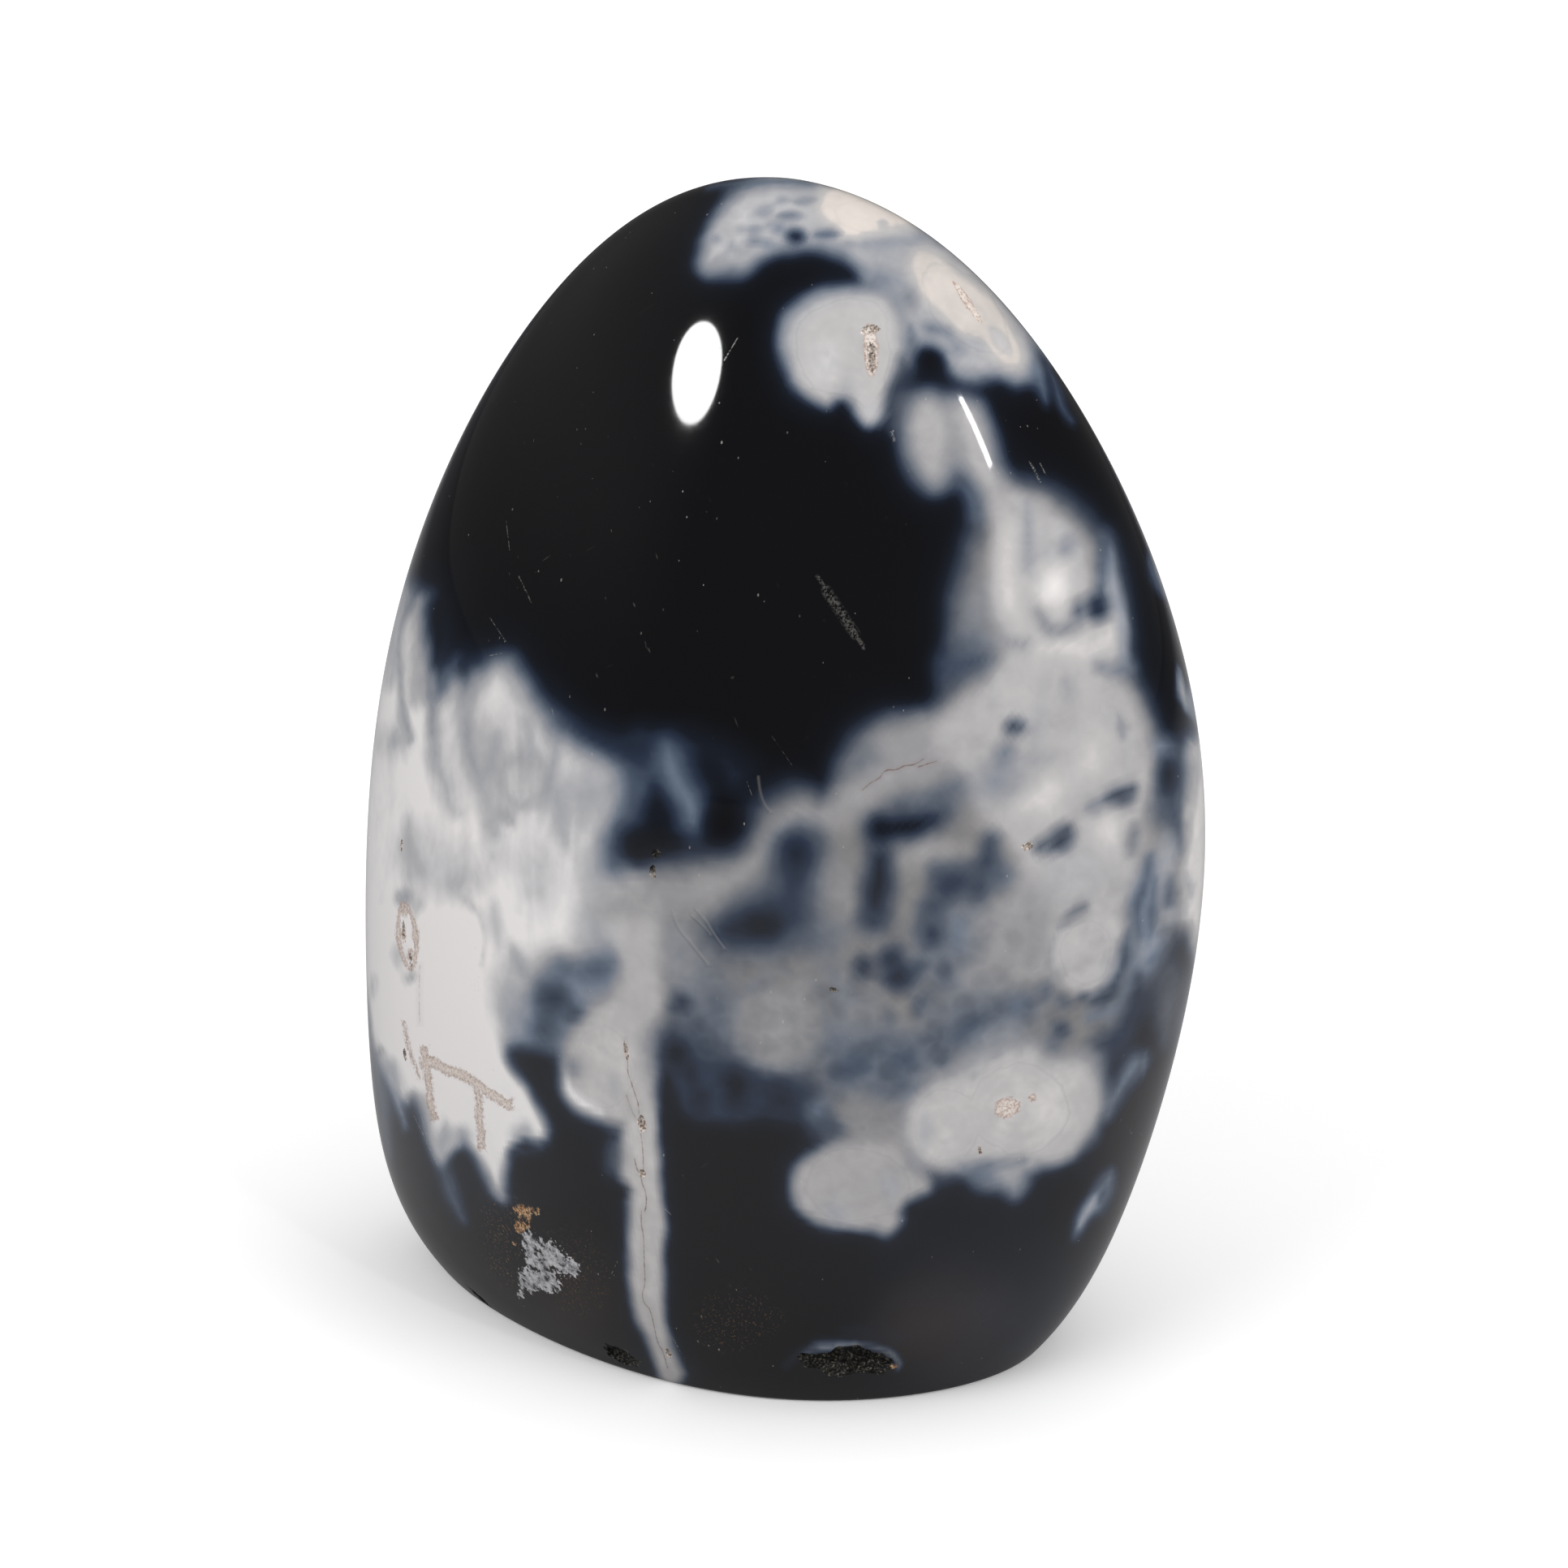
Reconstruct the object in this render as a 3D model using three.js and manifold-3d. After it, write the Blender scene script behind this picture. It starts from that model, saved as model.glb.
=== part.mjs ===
// A free-standing polished stone: one piece of black and white orca agate, ground to an
// egg-like pillar with a lens-shaped plan and sawn flat underneath so that it stands.
// +X runs along its length in plan, +Y through its thickness and +Z up from the sawn base.
// Sizes are in millimetres.
import * as THREE from "three";
import { mergeVertices, toCreasedNormals } from "three/addons/utils/BufferGeometryUtils.js";
import Module from "manifold-3d";

// From the sawn base, at z = 0, up to the crown
const HEIGHT = 105;
// What the saw took off the foot of the whole egg, below z = 0
const FOOT_SAWN_OFF = 9;

// Half lengths towards the left and right end and half thickness. Each row shapes one
// smooth curve, from the crown to the foot that was sawn off.
const LEFT_HALF = [35, 34.5, 49.5, 25, 81];
const RIGHT_HALF = [38, 35, 49.5, 24.5, 51];
const HALF_THICKNESS = [20, 21, 34, 21, 42];

// Below zero, the ends of the plan are drawn out to blunt points
const PLAN_SQUARENESS = -0.08;
// The crown leans back over the foot by this much
const BACKWARD_LEAN = -2;

// Hand grinding leaves broad, shallow waves in the polished face
const GRINDING_DEPTH = 0.3;
const GRINDING_WAVES = [
  { direction: [2.1, 1.7, 3.2], phase: 0.4 },
  { direction: [-3.4, 1.1, 1.9], phase: 1.9 },
  { direction: [1.3, -3.6, 2.7], phase: 3.1 },
];

// Lattice of the skin: cells across each side, and cells from the shoulder to the foot
const CELLS_ACROSS = 24;
const CELLS_DOWN = 32;

// Natural hollows that the polishing left open: a vug above the foot and a chip in its edge.
// bearing is the angle in plan from +X, and half_size runs along the skin, up it and into it.
const HOLLOWS = [
  { bearing: -55.5, height: 4.9, half_size: [4.2, 1.8, 1.6], turn: 3, shift: 1.3 },
  { bearing: -101.7, height: 1.4, half_size: [1.6, 1.2, 1], turn: -8, shift: 2.6 },
];
const HOLLOW_ROUGHNESS = 0.24;
const HOLLOW_WAVES = [
  { direction: [5.1, 2.2, -1.7], phase: 0.3 },
  { direction: [-2.9, 6.1, 2.4], phase: 1.1 },
  { direction: [1.8, -3.3, 6.7], phase: 2.2 },
];
const HOLLOW_DETAIL = 4;

const MESH_TOLERANCE = 1e-4;
// A small turn in either angle, for reading the skin's slope
const SLOPE_STEP = 0.01;
// Edges that turn by more than this look sharp
const CREASE_ANGLE = THREE.MathUtils.degToRad(30);

// The whole egg's middle and half height, and the angle down from its crown to the sawn plane
const EGG_MIDDLE = (HEIGHT - FOOT_SAWN_OFF) / 2;
const EGG_HALF_HEIGHT = (HEIGHT + FOOT_SAWN_OFF) / 2;
const FOOT_POLAR = Math.acos(-EGG_MIDDLE / EGG_HALF_HEIGHT);

// Smooth curve through the pull of a few values, at share t of the way from crown to foot.
function blend(values, t) {
  let row = values;
  while (row.length > 1) {
    row = row.slice(1).map((next, i) => row[i] * (1 - t) + next * t);
  }
  return row[0];
}

// The mean of a few plane waves at a point, between -1 and 1.
function ripple(waves, point, shift = 0) {
  const sum = waves.reduce(
    (total, { direction: d, phase }) =>
      total + Math.sin(d[0] * point.x + d[1] * point.y + d[2] * point.z + phase + shift),
    0,
  );
  return sum / waves.length;
}

// A point of the whole egg at an angle down from the crown and a bearing in plan.
function eggPoint(polar, bearing) {
  const rise = Math.cos(polar);
  const girth = Math.sin(polar);
  const share = (1 - rise) / 2;
  const left = blend(LEFT_HALF, share) * girth;
  const right = blend(RIGHT_HALF, share) * girth;
  const thick = blend(HALF_THICKNESS, share) * girth;
  const c = Math.cos(bearing);
  const s = Math.sin(bearing);
  const z = EGG_MIDDLE + EGG_HALF_HEIGHT * rise;
  const along = ((left + right) / 2) * c * (1 + PLAN_SQUARENESS * s * s) + ((right - left) / 2) * c * c;
  const through = thick * s * (1 + PLAN_SQUARENESS * c * c) + BACKWARD_LEAN * (z / HEIGHT - 0.5);
  return new THREE.Vector3(along, through, z);
}

// A point of the ground skin. share runs from 0 at the crown to 1 at the foot's edge, where
// the waves no longer move it up or down.
function groundPoint(share, bearing) {
  const polar = share * FOOT_POLAR;
  const point = eggPoint(polar, bearing);
  const outward = new THREE.Vector3().setFromSphericalCoords(1, polar, bearing);
  const direction = new THREE.Vector3(outward.z, outward.x, outward.y);
  const stand = GRINDING_DEPTH * ripple(GRINDING_WAVES, direction);
  point.x += stand * direction.x;
  point.y += stand * direction.y;
  point.z += stand * direction.z * (1 - share);
  return point;
}

// The body: a box's five upper sides are wrapped over the egg as a square lattice, and the
// edge they end in is closed by a fan, which is the sawn base.
function bodyGeometry() {
  const box = new THREE.BoxGeometry(2, 2, 2, CELLS_ACROSS, CELLS_ACROSS, CELLS_DOWN);
  const underside = box.groups[5];
  const corners = box.getAttribute("position");
  const corner = new THREE.Vector3();
  const points = [...box.index.array].slice(0, underside.start).map((i) => {
    corner.fromBufferAttribute(corners, i);
    // Evenly spaced directions: each box coordinate is read as an angle's slope
    corner.set(...corner.toArray().map((x) => Math.tan((x * Math.PI) / 4)));
    const bearing = Math.atan2(corner.y, corner.x);
    const reach = 1 / Math.max(Math.abs(Math.cos(bearing)), Math.abs(Math.sin(bearing)));
    const rimPolar = Math.PI - Math.atan(reach);
    const polar = Math.acos(corner.z / corner.length());
    return groundPoint(Math.min(1, polar / rimPolar), bearing);
  });
  const rimCells = 4 * CELLS_ACROSS;
  const rimPoint = (i) => groundPoint(1, (i / rimCells) * 2 * Math.PI);
  const middle = new THREE.Vector3();
  for (let i = 0; i < rimCells; i++) {
    points.push(middle, rimPoint(i + 1), rimPoint(i));
  }
  points.forEach((point) => {
    if (Math.abs(point.z) < MESH_TOLERANCE) point.z = 0;
  });
  return new THREE.BufferGeometry().setFromPoints(points);
}

// A lumpy hollow, laid on the skin with its depth along the skin's own normal.
function hollowGeometry({ bearing, height, half_size, turn, shift }) {
  const angle = THREE.MathUtils.degToRad(bearing);
  const polar = Math.acos((height - EGG_MIDDLE) / EGG_HALF_HEIGHT);
  const place = eggPoint(polar, angle);
  const alongSkin = eggPoint(polar, angle + SLOPE_STEP).sub(place).normalize();
  const upSkin = eggPoint(polar - SLOPE_STEP, angle).sub(place).normalize();
  const outward = alongSkin.clone().cross(upSkin).normalize();
  upSkin.crossVectors(outward, alongSkin);
  const lump = new THREE.IcosahedronGeometry(1, HOLLOW_DETAIL);
  const corners = lump.getAttribute("position");
  const corner = new THREE.Vector3();
  for (let i = 0; i < corners.count; i++) {
    corner.fromBufferAttribute(corners, i);
    corner.multiplyScalar(1 + HOLLOW_ROUGHNESS * ripple(HOLLOW_WAVES, corner, shift));
    corners.setXYZ(i, corner.x, corner.y, corner.z);
  }
  return lump
    .scale(...half_size)
    .rotateZ(THREE.MathUtils.degToRad(turn))
    .applyMatrix4(new THREE.Matrix4().makeBasis(alongSkin, upSkin, outward))
    .translate(place.x, place.y, place.z);
}

const wasm = await Module();
wasm.setup();

function solidFrom(geometry) {
  const bare = new THREE.BufferGeometry().setAttribute("position", geometry.getAttribute("position"));
  const merged = mergeVertices(bare, MESH_TOLERANCE);
  return new wasm.Manifold(
    new wasm.Mesh({
      numProp: 3,
      vertProperties: new Float32Array(merged.getAttribute("position").array),
      triVerts: new Uint32Array(merged.index.array),
    }),
  );
}

function geometryFrom(solid) {
  const mesh = solid.getMesh();
  return new THREE.BufferGeometry()
    .setAttribute("position", new THREE.BufferAttribute(mesh.vertProperties, mesh.numProp))
    .setIndex(new THREE.BufferAttribute(mesh.triVerts, 1));
}

// Puts the middle of the stone's plan over the origin, with its base at z = 0.
function centred(geometry) {
  geometry.computeBoundingBox();
  const middle = geometry.boundingBox.getCenter(new THREE.Vector3());
  return geometry.translate(-middle.x, -middle.y, 0);
}

function stoneMesh() {
  const hollowed = HOLLOWS.reduce(
    (solid, hollow) => solid.subtract(solidFrom(hollowGeometry(hollow))),
    solidFrom(bodyGeometry()),
  );
  const skin = toCreasedNormals(centred(geometryFrom(hollowed)), CREASE_ANGLE);
  const agate = new THREE.MeshStandardMaterial({ color: 0x24252a, roughness: 0.06, metalness: 0 });
  const mesh = new THREE.Mesh(skin, agate);
  mesh.name = "agate_pillar";
  return mesh;
}

const pillar = new THREE.Group();
pillar.add(stoneMesh());

export default pillar;
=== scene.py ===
"""A polished freeform of black and white orca agate that stands on its sawn foot."""

import logging
import math
from collections.abc import Callable, Iterator, Sequence
from contextlib import contextmanager
from dataclasses import dataclass, field
from enum import Enum

import bmesh
import bpy
import numpy as np
from mathutils import Matrix, Vector, noise


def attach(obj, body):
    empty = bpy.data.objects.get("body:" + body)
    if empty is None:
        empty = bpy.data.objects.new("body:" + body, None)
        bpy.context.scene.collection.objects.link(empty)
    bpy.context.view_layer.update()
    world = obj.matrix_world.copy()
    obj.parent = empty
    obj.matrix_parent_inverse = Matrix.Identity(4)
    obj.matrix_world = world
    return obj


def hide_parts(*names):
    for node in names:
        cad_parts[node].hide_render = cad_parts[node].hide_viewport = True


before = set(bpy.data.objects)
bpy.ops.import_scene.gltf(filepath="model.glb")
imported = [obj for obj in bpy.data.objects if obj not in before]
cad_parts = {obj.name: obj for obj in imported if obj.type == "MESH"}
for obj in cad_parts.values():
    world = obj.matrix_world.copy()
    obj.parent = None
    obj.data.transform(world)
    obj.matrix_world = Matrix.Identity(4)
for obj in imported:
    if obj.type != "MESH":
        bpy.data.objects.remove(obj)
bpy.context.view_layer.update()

LOG = logging.getLogger("orca_agate")
NODE = "agate_pillar"
BODY = "root"

# Everything below is in millimetres, and Blender's own lengths are in metres
MM = 0.001

Point2 = tuple[float, float]
Point3 = tuple[float, float, float]
Socket = bpy.types.NodeSocket


class Tone(float, Enum):
    """How blue or warm a milky layer is."""

    BLUE = 0.0
    COOL = 0.25
    PLAIN = 0.5
    WARM = 0.8
    CREAM = 1.0


BLUE, COOL, PLAIN, WARM, CREAM = Tone


def smooth(value: np.ndarray) -> np.ndarray:
    """Eases values from 0 to 1, flat at both ends."""
    t = np.clip(value, 0.0, 1.0)
    return t * t * (3 - 2 * t)


def blend_curve(values: Sequence[float], share: np.ndarray) -> np.ndarray:
    """The smooth curve that a few values pull, from the crown to the foot.

    Args:
        values: The pulls, from the crown down.
        share: The places to read it at, 0 at the crown and 1 at the foot.

    Returns:
        The curve's values.
    """
    row = [np.full_like(share, float(value)) for value in values]
    while len(row) > 1:
        row = [a * (1 - share) + b * share for a, b in zip(row[:-1], row[1:])]
    return row[0]


@dataclass(frozen=True)
class StoneForm:
    """The ground form: a whole egg by three smooth curves, leant back and sawn off at its foot."""

    height: float = 105.0
    foot_sawn_off: float = 9.0
    left_half: tuple[float, ...] = (35, 34.5, 49.5, 25, 81)
    right_half: tuple[float, ...] = (38, 35, 49.5, 24.5, 51)
    half_thickness: tuple[float, ...] = (20, 21, 34, 21, 42)
    plan_squareness: float = -0.08
    backward_lean: float = -2.0
    grinding_depth: float = 0.3
    grinding_waves: tuple[tuple[Point3, float], ...] = (
        ((2.1, 1.7, 3.2), 0.4),
        ((-3.4, 1.1, 1.9), 1.9),
        ((1.3, -3.6, 2.7), 3.1),
    )

    @property
    def middle(self) -> float:
        """Height of the whole egg's middle above the sawn foot."""
        return (self.height - self.foot_sawn_off) / 2

    @property
    def half_height(self) -> float:
        """Half the whole egg's height."""
        return (self.height + self.foot_sawn_off) / 2

    @property
    def foot_polar(self) -> float:
        """Angle down from the crown to the sawn plane."""
        return math.acos(-self.middle / self.half_height)

    def skin(self, share: np.ndarray, bearing: np.ndarray) -> np.ndarray:
        """Points of the ground skin.

        Args:
            share: 0 at the crown and 1 at the foot's edge.
            bearing: Angle in plan from the right end.

        Returns:
            One row of x, y and z for each place.
        """
        polar = share * self.foot_polar
        rise, girth = np.cos(polar), np.sin(polar)
        down = (1 - rise) / 2
        left = blend_curve(self.left_half, down) * girth
        right = blend_curve(self.right_half, down) * girth
        thick = blend_curve(self.half_thickness, down) * girth
        c, s = np.cos(bearing), np.sin(bearing)
        z = self.middle + self.half_height * rise
        x = (left + right) / 2 * c * (1 + self.plan_squareness * s * s) + (right - left) / 2 * c * c
        y = thick * s * (1 + self.plan_squareness * c * c) + self.backward_lean * (z / self.height - 0.5)
        outward = np.stack([girth * c, girth * s, rise], 1)
        waves = [np.sin(outward @ np.array(way) + phase) for way, phase in self.grinding_waves]
        stand = self.grinding_depth * np.mean(waves, 0)
        point = np.stack([x, y, z], 1)
        point[:, :2] += stand[:, None] * outward[:, :2]
        point[:, 2] += stand * rise * (1 - share)
        return point


@dataclass(frozen=True)
class FaceView:
    """The line of sight that the markings of the front are laid along."""

    azimuth: float = 28.0
    elevation: float = 18.0
    distance: float = 500.0
    aim: Point3 = (0.0, 0.0, 54.0)
    # Where the drawing's own zero lies, across and up from the aim
    zero: Point2 = (1.143, -57.714)

    def axes(self) -> tuple[np.ndarray, np.ndarray, np.ndarray]:
        """The directions across, up and into the view."""
        a, e = math.radians(self.azimuth), math.radians(self.elevation)
        into = np.array([-math.sin(a) * math.cos(e), math.cos(a) * math.cos(e), -math.sin(e)])
        across = np.array([math.cos(a), math.sin(a), 0.0])
        return across, np.cross(across, into), into

    def eye(self) -> np.ndarray:
        """Where the eye stands."""
        return np.array(self.aim) - self.axes()[2] * self.distance

    def lay(self, points: np.ndarray) -> np.ndarray:
        """Places of points on the drawing, across and up."""
        across, up, into = self.axes()
        away = points - np.array(self.aim)
        scale = self.distance / (self.distance + away @ into)
        return np.stack([away @ across * scale - self.zero[0], away @ up * scale - self.zero[1]], 1)

    def sight(self, place: Point2) -> np.ndarray:
        """Direction from the eye through a place on the drawing."""
        across, up, _ = self.axes()
        through = np.array(self.aim) + across * (place[0] + self.zero[0]) + up * (place[1] + self.zero[1])
        way = through - self.eye()
        return way / np.linalg.norm(way)


FORM = StoneForm()
VIEW = FaceView()


@dataclass(frozen=True)
class Mark:
    """A layer of milk in the stone: how milky it is, its tone, and how wide its edge fades.

    haze is the blue breath that it sends out past its edge, and fades over spread.
    """

    level: float
    tone: Tone
    soft: float

    def outline(self) -> np.ndarray:
        """Points that enclose the mark."""
        raise NotImplementedError

    def reach(self) -> float:
        """How far past its outline the mark goes."""
        raise NotImplementedError

    def distance(self, at: np.ndarray) -> np.ndarray:
        """Distance of places to the mark's edge, below zero inside."""
        raise NotImplementedError

    def cover(self, at: np.ndarray) -> np.ndarray:
        """How much of what lies below the mark hides, from 0 to 1."""
        d = self.distance(at)
        core = smooth(0.5 - d / (2 * self.soft))
        haze = self.haze * np.exp(-np.maximum(d, 0) / self.spread)
        return core + (1 - core) * haze


def rounded(points: Sequence[Sequence[float]], closed: bool, steps: int = 4) -> np.ndarray:
    """Points of the smooth curve through a few given ones.

    Args:
        points: The given points.
        closed: Whether the curve comes back to its start.
        steps: How many parts each stretch gets.

    Returns:
        The curve's points.
    """
    p = np.asarray(points, float)
    if closed:
        before, base, after, beyond = np.roll(p, 1, 0), p, np.roll(p, -1, 0), np.roll(p, -2, 0)
    else:
        q = np.vstack([2 * p[0] - p[1], p, 2 * p[-1] - p[-2]])
        before, base, after, beyond = q[:-3], q[1:-2], q[2:-1], q[3:]
    stretches = [
        0.5
        * (
            2 * base
            + (after - before) * s
            + (2 * before - 5 * base + 4 * after - beyond) * s**2
            + (3 * base - before - 3 * after + beyond) * s**3
        )
        for s in np.arange(steps) / steps
    ]
    curve = np.stack(stretches, 1).reshape(-1, p.shape[1])
    return curve if closed else np.vstack([curve, p[-1]])


@dataclass(frozen=True)
class Cloud(Mark):
    """A patch with a smooth closed outline."""

    edge: tuple[Point2, ...] = ()
    haze: float = 0.0
    spread: float = 1.0

    def outline(self) -> np.ndarray:
        """Points that enclose the mark."""
        return np.array(self.edge, float)

    def reach(self) -> float:
        """How far past its outline the mark goes."""
        return self.soft + 1.5 + 4 * self.spread * (self.haze > 0)

    def distance(self, at: np.ndarray) -> np.ndarray:
        """Distance of places to the mark's edge, below zero inside."""
        start = rounded(self.edge, closed=True)
        end = np.roll(start, -1, 0)
        nearest = np.full(len(at), np.inf)
        inside = np.zeros(len(at), bool)
        for (ax, ay), (bx, by) in zip(start, end):
            ex, ey = bx - ax, by - ay
            px, py = at[:, 0] - ax, at[:, 1] - ay
            t = np.clip((px * ex + py * ey) / (ex * ex + ey * ey + 1e-12), 0, 1)
            nearest = np.minimum(nearest, (px - t * ex) ** 2 + (py - t * ey) ** 2)
            if ey:
                inside ^= ((ay > at[:, 1]) != (by > at[:, 1])) & (px < ex * py / ey)
        return np.where(inside, -1, 1) * np.sqrt(nearest)


@dataclass(frozen=True)
class Strand(Mark):
    """A band along a line. Each point is across, up and the band's half width."""

    path: tuple[Point3, ...] = ()
    haze: float = 0.0
    spread: float = 1.0

    def outline(self) -> np.ndarray:
        """Points that enclose the mark."""
        return np.array(self.path, float)[:, :2]

    def reach(self) -> float:
        """How far past its outline the mark goes."""
        return self.soft + 1 + max(point[2] for point in self.path) + 4 * self.spread * (self.haze > 0)

    def distance(self, at: np.ndarray) -> np.ndarray:
        """Distance of places to the mark's edge, below zero inside."""
        line = rounded(self.path, closed=False)
        nearest = np.full(len(at), np.inf)
        for (ax, ay, aw), (bx, by, bw) in zip(line[:-1], line[1:]):
            ex, ey = bx - ax, by - ay
            px, py = at[:, 0] - ax, at[:, 1] - ay
            t = np.clip((px * ex + py * ey) / (ex * ex + ey * ey + 1e-12), 0, 1)
            nearest = np.minimum(nearest, np.hypot(px - t * ex, py - t * ey) - (aw + (bw - aw) * t))
        return nearest


@dataclass(frozen=True)
class Spot(Mark):
    """An oval. With a rim, only the line round it is drawn, of that half width."""

    centre: Point2 = (0, 0)
    half: Point2 = (1, 1)
    turn: float = 0.0
    rim: float = 0.0
    haze: float = 0.0
    spread: float = 1.0

    def outline(self) -> np.ndarray:
        """Points that enclose the mark."""
        return np.array([self.centre], float)

    def reach(self) -> float:
        """How far past its outline the mark goes."""
        return self.soft + max(self.half) + self.rim + 0.5 + 4 * self.spread * (self.haze > 0)

    def distance(self, at: np.ndarray) -> np.ndarray:
        """Distance of places to the mark's edge, below zero inside."""
        c, s = math.cos(math.radians(self.turn)), math.sin(math.radians(self.turn))
        x, y = at[:, 0] - self.centre[0], at[:, 1] - self.centre[1]
        u, v = (x * c + y * s) / self.half[0], (y * c - x * s) / self.half[1]
        r = np.hypot(u, v) + 1e-9
        d = np.where(r < 1, (r - 1) * min(self.half), np.hypot(x, y) * (1 - 1 / r))
        return np.abs(d) - self.rim if self.rim else d


def laid(at: np.ndarray, marks: Sequence[Mark]) -> tuple[np.ndarray, np.ndarray]:
    """Lays each mark over the ones before it.

    Args:
        at: Places, across and up.
        marks: The marks, lowest first.

    Returns:
        How milky and how warm the stone is at each place.
    """
    milk, warmth = np.zeros(len(at)), np.zeros(len(at))
    for mark in marks:
        around, reach = mark.outline(), mark.reach()
        low, high = around.min(0) - reach, around.max(0) + reach
        near = np.flatnonzero(((at >= low) & (at <= high)).all(1))
        if near.size:
            cover = mark.cover(at[near])
            milk[near] += (mark.level - milk[near]) * cover
            warmth[near] += (float(mark.tone) - warmth[near]) * cover
    return milk, warmth

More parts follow.
